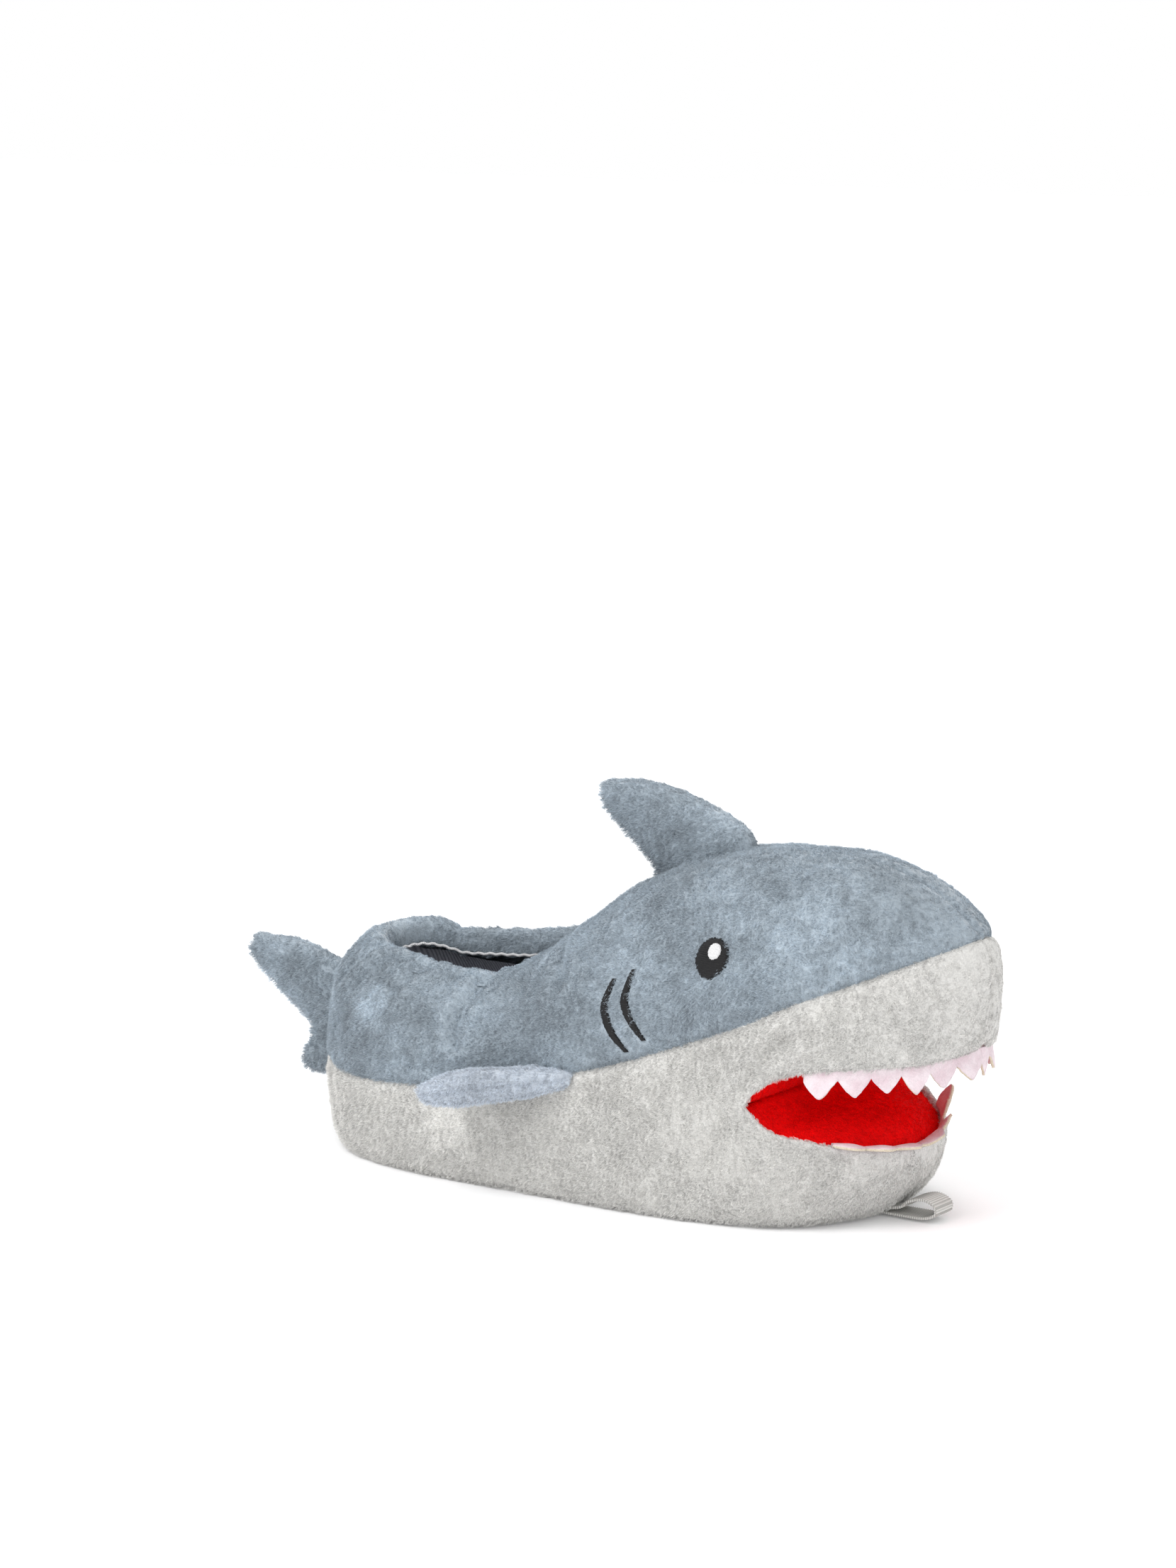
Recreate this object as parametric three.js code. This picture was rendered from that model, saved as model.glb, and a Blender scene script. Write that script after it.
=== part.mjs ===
// A plush shark slipper, built the way the real one is sewn: plush skins over foam and
// fibre, a lining around the foot, a stuffed head whose snout closes over the mouth, and
// stuffed fins. Millimetres, +X towards the nose, +Y to the shark's left, +Z up. The foot
// goes in from behind; the sole stands on z = 0.
import * as THREE from 'three';
import { mergeVertices } from 'three/addons/utils/BufferGeometryUtils.js';

// ---- thicknesses and gaps ----
const GAP = 0.3;              // between pieces that touch
const SKIN = 2.6;             // plush fabric with its pile
const FILL = SKIN + 2 * GAP;  // depth at which the filling starts
const LINING = 1.2;
const LINING_GAP = 0.5;
const FELT = 1.2;             // teeth
const STITCH = 0.7;           // height of embroidery
const RIBBON = 1.0;
const SEAM = GAP / 2;         // half gap at the centre seam
const LOOSE = 0.05;           // extra room round a filling
const SOLE_TOP = 3.4;
const MIDSOLE = { bottom: 3.7, top: 8.5 };
const INSOLE = { bottom: 8.8, top: 13.3 };
const COLLAR_DEPTH = 10.5;      // how far the plush turns down inside the opening

// ---- the body's shape ----
// Each row is one cross-section of the right half:
// x, half width and height at the sole edge, the same at the widest place, and the ridge's height.
const BODY = [
  [-120, 0, 32, 0, 32, 32],
  [-118.8, 0, 13, 12, 31.5, 49.5],
  [-115, 11, 3, 21, 31, 63],
  [-108, 23.5, 1, 32, 31, 71.5],
  [-100.5, 32.5, 1, 40.5, 31, 75.5],
  [-91.5, 40.5, 1, 47.5, 31, 76.5],
  [-78, 48, 1, 53.5, 31, 76],
  [-60, 52, 1, 57, 32, 75],
  [-42, 53, 1, 58, 33, 76.5],
  [-27, 53, 1, 58, 34, 79.5],
  [-14, 53, 1, 58, 35, 84.5],
  [-3, 53, 1, 57.5, 36, 92.5],
  [14, 53, 1, 57, 37, 105],
  [38, 52, 1, 55.5, 39, 116],
  [62, 49, 1, 53, 41, 121.5],
  [82, 43, 1, 50.5, 43, 122.5],
];
const SNOUT = [
  [82, 50.5, 43, 50.5, 43, 122.5],
  [94, 46.5, 54, 48, 58.5, 122.5],
  [107, 42, 57.8, 43.5, 67, 120.5],
  [119, 36, 59, 38, 73, 117],
  [130, 28, 60, 30, 79, 111.5],
  [139, 18, 61, 20.5, 84, 105],
  [145, 4, 63, 12, 86, 99],
  [147.7, 0, 70, 5.5, 87, 93.5],
  [149, 0, 87, 0, 87, 87],
];
// The foot's hollow, with one row to each row of the body.
const HOLLOW = [
  [-107.6, 0, 30, 0, 30, 30],
  [-107.5, 0, 18, 5, 28, 44],
  [-107.2, 5, 10.3, 10, 27, 54],
  [-106.8, 12, 10.3, 17, 26, 61],
  [-103.5, 20, 10.3, 25, 26, 70],
  [-93.5, 30, 10.3, 36, 26, 71.5],
  [-78, 35.5, 10.3, 41.5, 26, 69],
  [-60, 37.5, 10.3, 43, 26, 69],
  [-42, 39, 10.3, 43.5, 26, 69.5],
  [-27, 40.5, 10.3, 44, 26, 71],
  [-14, 41.5, 10.3, 44.5, 26, 73],
  [-3, 42, 10.3, 44.5, 26, 74],
  [14, 42, 10.3, 44.5, 25, 64],
  [38, 41, 10.3, 43.5, 24, 51],
  [62, 38, 10.3, 41, 22, 42],
  [82, 33, 10.3, 36.5, 20, 35],
];
// The lower jaw: x and half width at the sole edge, then the lip's x, half width and height.
const JAW = [
  [82, 43, 82, 50.5, 43],
  [89, 38.5, 91, 47, 35.5],
  [95.5, 32, 101, 41.5, 33],
  [101, 23, 111, 33, 30.2],
  [105.5, 13, 118.5, 22, 28.2],
  [108, 4, 123, 9.5, 26.8],
  [108.5, 0, 124, 0, 26.4],
];
const TOE = [
  [82, 33, 10.3, 36.5, 20, 35],
  [88, 30, 10.3, 33, 19.5, 31.5],
  [93.5, 25, 10.3, 28, 19, 28.5],
  [98, 17.5, 10.3, 20.5, 18.5, 25.5],
  [100.8, 9, 10.8, 12, 18, 22.5],
  [102, 2, 13, 5, 17.5, 20],
  [102.3, 0, 17.5, 0, 17.5, 17.5],
];
// Height of the seam between the blue-grey back and the pale belly, along x.
const SEAM_LINE = [
  [-120, 32], [-100, 30.5], [-77, 31], [-57, 32.5], [-30, 36], [-10, 40], [16, 46.5],
  [38, 53.5], [60, 62], [81, 70.5], [98, 79], [112, 85], [127, 91.5], [140, 97.5], [146.5, 101],
];
const OPENING = { back: -105.5, front: -9, halfWidth: 30.5 };
const MOUTH_X = 82;           // corners of the mouth, and the line the snout bends on
const MOUTH_Z = 43;
const THROAT_X = 2;           // where the filled head begins
const SIDE_SPLIT = 0.35;      // share of a section that lies under its widest place
const NOSE_SEAM_X = 146.5;    // where that seam meets the one down the nose
const HULL = 0.8;             // roundness of the sides under the widest place
const CHIN_SLOPE = 0.9;       // the chin slopes more, the nearer it comes to the tip
const CROWN = 0.92;           // and above it
const HEEL_FROM = -84;        // behind here the sides stand up straighter
const HEEL_SQUARE = 0.37;

// ---- colours ----
const COLOURS = {
  plush_blue: [0x8496a6, 0.95], plush_grey: [0xc4c4c0, 0.95], plush_red: [0xd0040a, 0.95],
  felt_white: [0xf3edea, 0.9], thread_black: [0x17181a, 0.7], thread_white: [0xf2f2f2, 0.6],
  lining_grey: [0x85868b, 0.9], foam: [0xe9e4d8, 0.9], fibre: [0xf4f2ee, 0.95],
  outsole: [0xb9bbbd, 0.75], ribbon_grey: [0xc9cac8, 0.6],
};

const part = new THREE.Group();

// ---- curves ----
function curve(rows, s) {
  const last = rows.length - 1;
  const i = Math.min(Math.max(Math.floor(s), 0), last - 1);
  const t = s - i;
  const row = (k) => {
    if (k < 0) return rows[0].map((v, c) => 2 * v - rows[1][c]);
    if (k > last) return rows[last].map((v, c) => 2 * v - rows[last - 1][c]);
    return rows[k];
  };
  const [a, b, c, d] = [row(i - 1), row(i), row(i + 1), row(i + 2)];
  return b.map((v, k) => 0.5 * (2 * v + (c[k] - a[k]) * t
    + (2 * a[k] - 5 * v + 4 * c[k] - d[k]) * t * t
    + (3 * v - a[k] - 3 * c[k] + d[k]) * t * t * t));
}

function stationOf(rows, x) {
  let [low, high] = [0, rows.length - 1];
  for (let k = 0; k < 50; k++) {
    const middle = (low + high) / 2;
    if (curve(rows, middle)[0] < x) low = middle;
    else high = middle;
  }
  return (low + high) / 2;
}

function seamHeight(x) {
  return curve(SEAM_LINE, stationOf(SEAM_LINE, x))[1];
}

function openingHalfWidth(x) {
  const middle = (OPENING.back + OPENING.front) / 2;
  const half = (OPENING.front - OPENING.back) / 2;
  const away = Math.abs(x - middle) / half;
  return away >= 1 ? 0 : OPENING.halfWidth * (1 - away ** 2.6) ** (1 / 2.2);
}

// The roundness of the sides above the widest place.
function crownAt(rows, s) {
  if (rows !== BODY && rows !== HOLLOW) return CROWN;
  const back = Math.min(1, Math.max(0, (HEEL_FROM - curve(BODY, s)[0]) / (HEEL_FROM - BODY[0][0])));
  return CROWN - HEEL_SQUARE * back * back * (3 - 2 * back);
}

// The angle, from the widest place up to the ridge, at which the foot opening cuts the side.
function topAngle(rows, s, yWide) {
  const opening = rows === BODY || rows === HOLLOW ? openingHalfWidth(curve(BODY, s)[0]) : 0;
  if (opening <= 0) return Math.PI / 2;
  const cut = opening + (rows === HOLLOW ? GAP : 0);
  return Math.acos(Math.min(0.98, cut / yWide) ** (1 / crownAt(rows, s)));
}

// One point of a half section: t is 0 at the sole edge, 1 at the ridge or the opening, y positive.
function sectionPoint(rows, s, t) {
  const [x, yLow, zLow, yWide, zWide, zRidge] = curve(rows, s);
  if (t < SIDE_SPLIT) {
    const angle = (SIDE_SPLIT - t) / SIDE_SPLIT * Math.PI / 2;
    return [x, Math.max(0, yLow + (yWide - yLow) * Math.cos(angle) ** HULL),
      zWide - (zWide - zLow) * Math.sin(angle)];
  }
  const angle = Math.min(1, (t - SIDE_SPLIT) / (1 - SIDE_SPLIT)) * topAngle(rows, s, yWide);
  const y = yWide * Math.max(0, Math.cos(angle)) ** crownAt(rows, s);
  return [x, y, zWide + (zRidge - zWide) * Math.sin(angle)];
}

function jawPoint(s, t) {
  const [xSole, ySole, xLip, yLip, zLip] = curve(JAW, s);
  const angle = (1 - t) * Math.PI / 2;
  const out = Math.cos(angle) ** (HULL + CHIN_SLOPE * s / (JAW.length - 1));
  return [xSole + (xLip - xSole) * out, Math.max(0, ySole + (yLip - ySole) * out),
    zLip - (zLip - 1) * Math.sin(angle)];
}

// The share t of a section at which it reaches a height.
function shareAt(rows, s, z) {
  const [, , zLow, yWide, zWide, zRidge] = curve(rows, s);
  if (z <= zWide) {
    if (zWide - zLow < 1e-6) return SIDE_SPLIT;
    const sine = Math.min(1, (zWide - z) / (zWide - zLow));
    return SIDE_SPLIT * (1 - Math.asin(sine) / (Math.PI / 2));
  }
  const sine = Math.min(1, (z - zWide) / (zRidge - zWide));
  return SIDE_SPLIT + (1 - SIDE_SPLIT) * Math.min(1, Math.asin(sine) / topAngle(rows, s, yWide));
}

function seamShare(rows, s) {
  const [x] = curve(rows, s);
  return x >= NOSE_SEAM_X ? 1 : shareAt(rows, s, seamHeight(x));
}

// ---- surfaces by depth ----
const surfaces = {
  body: { point: (s, t) => sectionPoint(BODY, s, t), last: BODY.length - 1, pole: -1 },
  snout: { point: (s, t) => sectionPoint(SNOUT, s, t), last: SNOUT.length - 1, pole: 1 },
  hollow: { point: (s, t) => sectionPoint(HOLLOW, s, t), last: HOLLOW.length - 1, pole: -1 },
  toe: { point: (s, t) => sectionPoint(TOE, s, t), last: TOE.length - 1, pole: 1 },
  jaw: { point: jawPoint, last: JAW.length - 1, pole: 1 },
};

const TINY = 1e-3;            // a small step along a surface
const STEEPEST = 0.3;         // limits the stretch of depth in a flat end

function normalAt(surface, s, t, flat) {
  const step = TINY;
  if (surface.pole < 0 && s < step && surface.last > 0) return [-1, 0, 0];
  if (surface.pole > 0 && s > surface.last - step && surface !== surfaces.jaw) return [1, 0, 0];
  const s0 = Math.max(0, s - step);
  const s1 = Math.min(surface.last, s + step);
  const t0 = Math.max(0, t - step);
  const t1 = Math.min(1, t + step);
  const along = new THREE.Vector3(...surface.point(s1, t)).sub(new THREE.Vector3(...surface.point(s0, t)));
  const up = new THREE.Vector3(...surface.point(s, t1)).sub(new THREE.Vector3(...surface.point(s, t0)));
  const normal = up.cross(along);
  if (normal.length() < 1e-12) {
    return t < SIDE_SPLIT ? normalAt(surface, s, SIDE_SPLIT + 2 * step, flat) : [surface.pole, 0, 0];
  }
  normal.normalize();
  // In a flat end the depth is measured within the section, so it is stretched to stay true.
  const stretch = flat ? 1 / Math.max(STEEPEST, normal.y ** 2 + normal.z ** 2) : 1;
  return [flat ? 0 : normal.x, normal.y * stretch, normal.z * stretch];
}

// A point at a depth under a surface, on one side (-1 right, 1 left).
function under(surface, s, t, depth, side, flat = false) {
  const p = surface.point(s, t);
  const n = normalAt(surface, s, t, flat);
  const y = Math.max(SEAM, p[1] - n[1] * depth);
  return [p[0] - n[0] * depth, side * y, p[2] - n[2] * depth];
}

// ---- solids ----
function solidFrom(points, faces) {
  const positions = [];
  faces.forEach((face) => face.forEach((k) => positions.push(...points[k])));
  let geometry = new THREE.BufferGeometry();
  geometry.setAttribute('position', new THREE.Float32BufferAttribute(positions, 3));
  geometry = mergeVertices(geometry, TINY);
  const index = geometry.getIndex().array;
  const kept = [];
  let volume = 0;
  const at = geometry.getAttribute('position');
  const corner = (k) => new THREE.Vector3().fromBufferAttribute(at, k);
  for (let k = 0; k < index.length; k += 3) {
    const [a, b, c] = [index[k], index[k + 1], index[k + 2]];
    if (a === b || b === c || c === a) continue;
    kept.push(a, b, c);
    volume += corner(a).dot(corner(b).cross(corner(c)));
  }
  if (volume < 0) for (let k = 0; k < kept.length; k += 3) [kept[k], kept[k + 1]] = [kept[k + 1], kept[k]];
  geometry.setIndex(kept);
  geometry.computeVertexNormals();
  return geometry;
}

// A closed solid between two grids of points with the same rows and columns.
function between(outer, inner, ring = false) {
  const rows = outer.length;
  const columns = outer[0].length;
  const points = [...outer.flat(), ...inner.flat()];
  const faces = [];
  const at = (layer, i, j) => layer * rows * columns + (i % rows) * columns + j;
  const quad = (a, b, c, d) => faces.push([a, b, c], [a, c, d]);
  const spans = ring ? rows : rows - 1;
  for (let i = 0; i < spans; i++) {
    for (let j = 0; j < columns - 1; j++) {
      quad(at(0, i, j), at(0, i + 1, j), at(0, i + 1, j + 1), at(0, i, j + 1));
      quad(at(1, i, j), at(1, i, j + 1), at(1, i + 1, j + 1), at(1, i + 1, j));
    }
    quad(at(0, i, 0), at(1, i, 0), at(1, i + 1, 0), at(0, i + 1, 0));
    quad(at(0, i, columns - 1), at(0, i + 1, columns - 1), at(1, i + 1, columns - 1), at(1, i, columns - 1));
  }
  if (!ring) {
    for (let j = 0; j < columns - 1; j++) {
      quad(at(0, 0, j), at(0, 0, j + 1), at(1, 0, j + 1), at(1, 0, j));
      quad(at(0, rows - 1, j), at(1, rows - 1, j), at(1, rows - 1, j + 1), at(0, rows - 1, j + 1));
    }
  }
  return solidFrom(points, faces);
}

function add(name, geometry, slot) {
  const [color, roughness] = COLOURS[slot];
  const material = new THREE.MeshStandardMaterial({ color, roughness, metalness: 0 });
  const mesh = new THREE.Mesh(geometry, material);
  mesh.name = name;
  part.add(mesh);
}

const steps = (from, to, count) => Array.from({ length: count + 1 }, (_, k) => from + (to - from) * k / count);
const SIDES = [[-1, 'right'], [1, 'left']];

// Stations along the body, closer together where the outline turns.
const REAR_X = [-120, -119.7, -118.8, -116.3, -112.5, -108, -105.5, -105, -103.8, -101, -96.5, -90, -81, -70, -58,
  -46, -36, -28, -21, -16, -12.5, -10.4, -9.3, -9, -4];
const HEAD_X = [THROAT_X, 10, 20, 34, 50, 66, MOUTH_X];
const bodyStations = (xs) => xs.map((x) => (x <= BODY[0][0] ? 0 : stationOf(BODY, x)));
const rearStations = bodyStations([...REAR_X, THROAT_X]);
const headStations = bodyStations(HEAD_X);
const allStations = [...rearStations, ...headStations.slice(1)];
const SNOUT_X = [82, 88, 95, 104, 113, 122, 130, 137, 142, 145, NOSE_SEAM_X];
const snoutStations = SNOUT_X.map((x) => stationOf(SNOUT, x));
const tipStations = [...snoutStations, stationOf(SNOUT, 148), SNOUT.length - 1];
const FILLING_TIP_X = 146.2;
const JAW_ROWS = 5;
const jawStations = steps(0, JAW.length - 1, 10);

// Pushes the end rows of a grid apart by half a gap along x.
function parted(grid, atStart, atEnd) {
  const shift = (row, by) => row.map(([x, y, z]) => [x + by, y, z]);
  return grid.map((row, i) => {
    if (atStart && i === 0) return shift(row, SEAM);
    if (atEnd && i === grid.length - 1) return shift(row, -SEAM);
    return row;
  });
}

function skinGrid(surface, stations, shares, depth, side, ends) {
  const grid = stations.map((s, i) => {
    const flat = (ends[0] && i === 0) || (ends[1] && i === stations.length - 1);
    return shares(s).map((t) => under(surface, s, t, depth, side, flat));
  });
  return parted(grid, ends[0], ends[1]);
}

function skin(surface, stations, shares, side, ends, from = 0, to = SKIN) {
  return between(skinGrid(surface, stations, shares, from, side, ends),
    skinGrid(surface, stations, shares, to, side, ends));
}

const SEAM_SHARE = 0.0016;    // half a gap as a share of a section

// Where each section is sampled: below and above the seam, and right across for the filling.
const lowerShares = (rows, count) => (s) => steps(0, Math.max(0, seamShare(rows, s) - SEAM_SHARE), count);
const upperShares = (rows, count) => (s) => steps(Math.min(1, seamShare(rows, s) + SEAM_SHARE), 1, count);
const bellyShares = lowerShares(BODY, 5);
const backShares = upperShares(BODY, 7);
const lipShares = lowerShares(SNOUT, 5);
const topShares = upperShares(SNOUT, 5);
const bodyShares = (s) => [...bellyShares(s), ...backShares(s).slice(1)];
const snoutShares = (s) => [...lipShares(s), ...topShares(s).slice(1)];

for (const [side, name] of SIDES) {
  add(`back_panel_${name}`, skin(surfaces.body, allStations, backShares, side, [false, true]), 'plush_blue');
  add(`belly_panel_${name}`, skin(surfaces.body, allStations, bellyShares, side, [false, true]), 'plush_grey');
  const jawShares = () => steps(0, 1, JAW_ROWS);
  add(`jaw_panel_${name}`, skin(surfaces.jaw, jawStations, jawShares, side, [true, false]), 'plush_grey');
  add(`snout_top_${name}`, skin(surfaces.snout, snoutStations, topShares, side, [true, false]), 'plush_blue');
  add(`snout_lip_${name}`, skin(surfaces.snout, tipStations, lipShares, side, [true, false]), 'plush_grey');
}

// ---- foam, fibre and lining ----
const hollowDepth = -(LINING + LINING_GAP);
for (const [side, name] of SIDES) {
  const outer = skinGrid(surfaces.body, rearStations, bodyShares, FILL, side, [false, true]);
  const inner = skinGrid(surfaces.hollow, rearStations, bodyShares, hollowDepth, side, [false, true]);
  add(`side_foam_${name}`, between(outer, inner), 'foam');
  const liningShares = () => steps(0, 1, 7);
  const toeStations = steps(0, TOE.length - 1, 10);
  const layer = (depth) => [
    ...skinGrid(surfaces.hollow, allStations, liningShares, depth, side, [false, true]),
    ...skinGrid(surfaces.toe, toeStations, liningShares, depth, side, [true, false])];
  add(`lining_${name}`, between(layer(-LINING), layer(0)), 'lining_grey');
}

// Joins a right half grid to its mirror image over the centre.
function arch(half) {
  return half.map((row) => [...row, ...[...row].reverse().map(([x, y, z]) => [x, -y, z])]);
}

{
  const outer = skinGrid(surfaces.body, headStations, bodyShares, FILL, -1, [true, true]);
  const inner = skinGrid(surfaces.hollow, headStations, bodyShares, hollowDepth, -1, [true, true]);
  add('head_filling', between(arch(outer), arch(inner)), 'fibre');
}

// The lip of the jaw moved inwards in plan by a distance.
function jawLip(s, inset) {
  const [, , x, y, z] = curve(JAW, s);
  const a = curve(JAW, Math.max(0, s - TINY));
  const b = curve(JAW, Math.min(JAW.length - 1, s + TINY));
  const along = new THREE.Vector2(b[2] - a[2], b[3] - a[3]).normalize();
  return [x + along.y * inset, Math.max(SEAM, y - along.x * inset), z];
}

const FLOOR_DOME = 6.5;
const floorRise = (s) => FLOOR_DOME * Math.sin(Math.PI * Math.min(1, s / (JAW.length - 1))) ** HULL;
const acrossShares = steps(0, 1, 4);
{
  // A mouth floor row runs from the right lip to the centre and is mirrored to the left.
  const floorRow = (s, drop) => {
    const [x, y, z] = jawLip(s, FILL + GAP);
    return acrossShares.map((k) => [Math.max(x, MOUTH_X + SEAM), -Math.max(SEAM, y * (1 - k)),
      z - GAP - drop + floorRise(s) * (1 - (1 - k) ** 2)]);
  };
  const grid = (drop) => arch(jawStations.map((s) => floorRow(s, drop)));
  add('mouth_floor', between(grid(0), grid(SKIN)), 'plush_red');

  const jawGrid = skinGrid(surfaces.jaw, jawStations, () => steps(0, 1, JAW_ROWS), FILL, -1, [true, false]);
  const outer = jawGrid.map((row, i) => [...row.map(([x, y, z], j) => [x, y, j === JAW_ROWS ? z - FILL - GAP : z]),
    ...floorRow(jawStations[i], FILL + GAP).slice(1)]);
  const toeShares = steps(0, 1, outer[0].length - 1);
  const toeRow = (s) => s * (TOE.length - 1) / (JAW.length - 1);
  const inner = skinGrid(surfaces.toe, jawStations.map(toeRow), () => toeShares, hollowDepth, -1, [true, false]);
  add('toe_foam', between(arch(outer), arch(inner)), 'foam');
}

// ---- sole ----
const CENTRE = 0.5;           // half width left at the ends of an outline
const SOLE_INSET = 2 * GAP;   // the belly's seam overhangs the outsole
const INSOLE_INSET = 1.2;     // the insoles stand clear of the lining
function soleOutline(points, bottom, top) {
  const outline = [...points, ...[...points].reverse().map(([x, y]) => [x, -y])];
  const rows = [bottom, top].map((z) => outline.map(([x, y]) => [x, y, z]));
  const faces = [];
  const count = outline.length;
  const flat = THREE.ShapeUtils.triangulateShape(outline.map(([x, y]) => new THREE.Vector2(x, y)), []);
  flat.forEach(([a, b, c]) => faces.push([a, c, b], [count + a, count + b, count + c]));
  for (let k = 0; k < count; k++) {
    const next = (k + 1) % count;
    faces.push([k, next, count + next], [k, count + next, count + k]);
  }
  return solidFrom(rows.flat(), faces);
}

function lowEdge(table, stations, inset) {
  return stations.map((s) => {
    const [x, y] = curve(table, s);
    return [x, -(y - inset)];
  });
}

const SOLE_X = [-108, -103.8, -101, -96.5, -90, -81, -70, -58, -46, -36, -28, -21, -15, -10, ...HEAD_X];
const soleStations = bodyStations(SOLE_X);
const CHIN_ROOM = 1.8;         // the soles end short of the sloping chin
const jawEdge = (inset) => jawStations.slice(1).map((s) => {
  const [x, y] = curve(JAW, s);
  return [x - (inset + CHIN_ROOM) * (1 - y / JAW[0][1]), -Math.max(CENTRE, y - inset)];
});
const heelEdge = (inset) => [
  [-115.6 + inset, -CENTRE], [-114.6 + inset, -8.5 + inset / 3], [-112 + inset, -16 + inset / 2],
];
{
  const edge = (inset) => [...heelEdge(inset), ...lowEdge(BODY, soleStations, inset), ...jawEdge(inset)];
  add('outsole', soleOutline(edge(SOLE_INSET), 0, SOLE_TOP), 'outsole');
}
{
  const edge = [[-105, -CENTRE], [-104.4, -8], ...lowEdge(HOLLOW, bodyStations(SOLE_X.slice(1)), INSOLE_INSET)];
  const toe = steps(0, TOE.length - 1, 9).slice(1, -2).map((s) => {
    const [x, y] = curve(TOE, s);
    return [x - 1, -Math.max(CENTRE, y - INSOLE_INSET)];
  });
  const points = [...edge, ...toe];
  add('midsole', soleOutline(points, MIDSOLE.bottom, MIDSOLE.top), 'foam');
  const inner = points.map(([x, y]) => [x, Math.min(-CENTRE, y + GAP)]);
  add('insole', soleOutline(inner, INSOLE.bottom, INSOLE.top), 'lining_grey');
}

// ---- collar facing: the plush turned down inside the opening ----
{
  const TUCK = 2;             // how far it stands inside the edge of the opening
  const [BELOW_EDGE, HEM] = [0.4, 0.6];
  const xs = [-104.6, -103.4, -101, -96.5, -90, -81, -70, -58, -46, -36, -28, -21, -16, -12.5, -10.2];
  const rightSide = xs.map((x) => under(surfaces.body, stationOf(BODY, x), 1, 0, -1));
  const loop = [...rightSide, ...[...rightSide].reverse().map(([x, y, z]) => [x, -y, z])];
  const count = loop.length;
  const inset = (k, by) => {
    const before = loop[(k + count - 1) % count];
    const after = loop[(k + 1) % count];
    const along = new THREE.Vector2(after[0] - before[0], after[1] - before[1]).normalize();
    return [loop[k][0] - along.y * by, loop[k][1] + along.x * by, loop[k][2]];
  };
  const wall = (by) => loop.map((_, k) => {
    const [x, y, z] = inset(k, by);
    return [BELOW_EDGE, COLLAR_DEPTH / 2, COLLAR_DEPTH - HEM].map((drop) => [x, y, z - drop]);
  });
  add('collar_facing', between(wall(TUCK), wall(TUCK + SKIN), true), 'plush_blue');
}

// ---- snout: roof of the mouth and filling ----
{
  const roofStations = SNOUT_X.slice(0, -1).map((x) => stationOf(SNOUT, x));
  const roofRow = (s, depth, i) => {
    const [x, y, z] = under(surfaces.snout, s, 0, depth, 1, i === 0);
    const half = Math.max(GAP, y - FILL - (i === 0 ? depth : 0));
    return steps(-half, half, 8).map((v) => [x + (i === 0 ? SEAM : 0), v,
      i === 0 ? MOUTH_Z + GAP + depth : z]);
  };
  const grid = (depth) => roofStations.map((s, i) => roofRow(s, depth, i));
  add('mouth_roof', between(grid(SKIN), grid(0)), 'plush_red');

  const fillingStations = [...snoutStations.slice(0, -1), stationOf(SNOUT, FILLING_TIP_X)];
  const outer = skinGrid(surfaces.snout, fillingStations, snoutShares, FILL + LOOSE, -1, [true, false])
    .map((row) => row.map(([x, y, z]) => [x, y, Math.max(MOUTH_Z + SKIN + 3 * GAP, z)]));
  const flatRow = (row) => {
    const [x0, y0, z0] = row[0];
    return steps(y0, -SEAM, row.length - 1).map((y) => [x0, y, z0 + LOOSE]);
  };
  const base = outer.map(flatRow);
  add('snout_filling', between(arch(outer), arch(base)), 'fibre');
}

// ---- felt teeth ----
const TOOTH = { pitch: 11, root: 3.2, height: 6.3, steps: 6 };
const TOOTH_LIFT = 0.5;
const UPPER_TEETH = 11;
const LOWER_TEETH = 7;
const LEAN = { right: 76, left: 14 };   // degrees out from upright
const zigzag = (distance) => {
  const share = Math.abs(((distance / TOOTH.pitch) % 1 + 1) % 1 - 0.5) * 2;
  return TOOTH.root + TOOTH.height * share ** 0.8;
};

// Equal steps along a lip, from the right side to the left, as [x, y, z, distance from the centre].
function lipPath(rightPoints, reach, perTooth) {
  const path = [...rightPoints, ...[...rightPoints].reverse().map(([x, y, z]) => [x, -y, z])];
  const line = new THREE.CatmullRomCurve3(path.map((p) => new THREE.Vector3(...p)), false, 'centripetal');
  const length = line.getLength();
  const count = Math.round(2 * reach / TOOTH.pitch * perTooth);
  return steps(-reach, reach, count).map((d) => {
    const share = (d + length / 2) / length;
    const p = line.getPointAt(share);
    const along = line.getTangentAt(share).setZ(0).normalize();
    return { x: p.x, y: p.y, z: p.z, outX: along.y, outY: -along.x, distance: d };
  });
}

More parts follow.
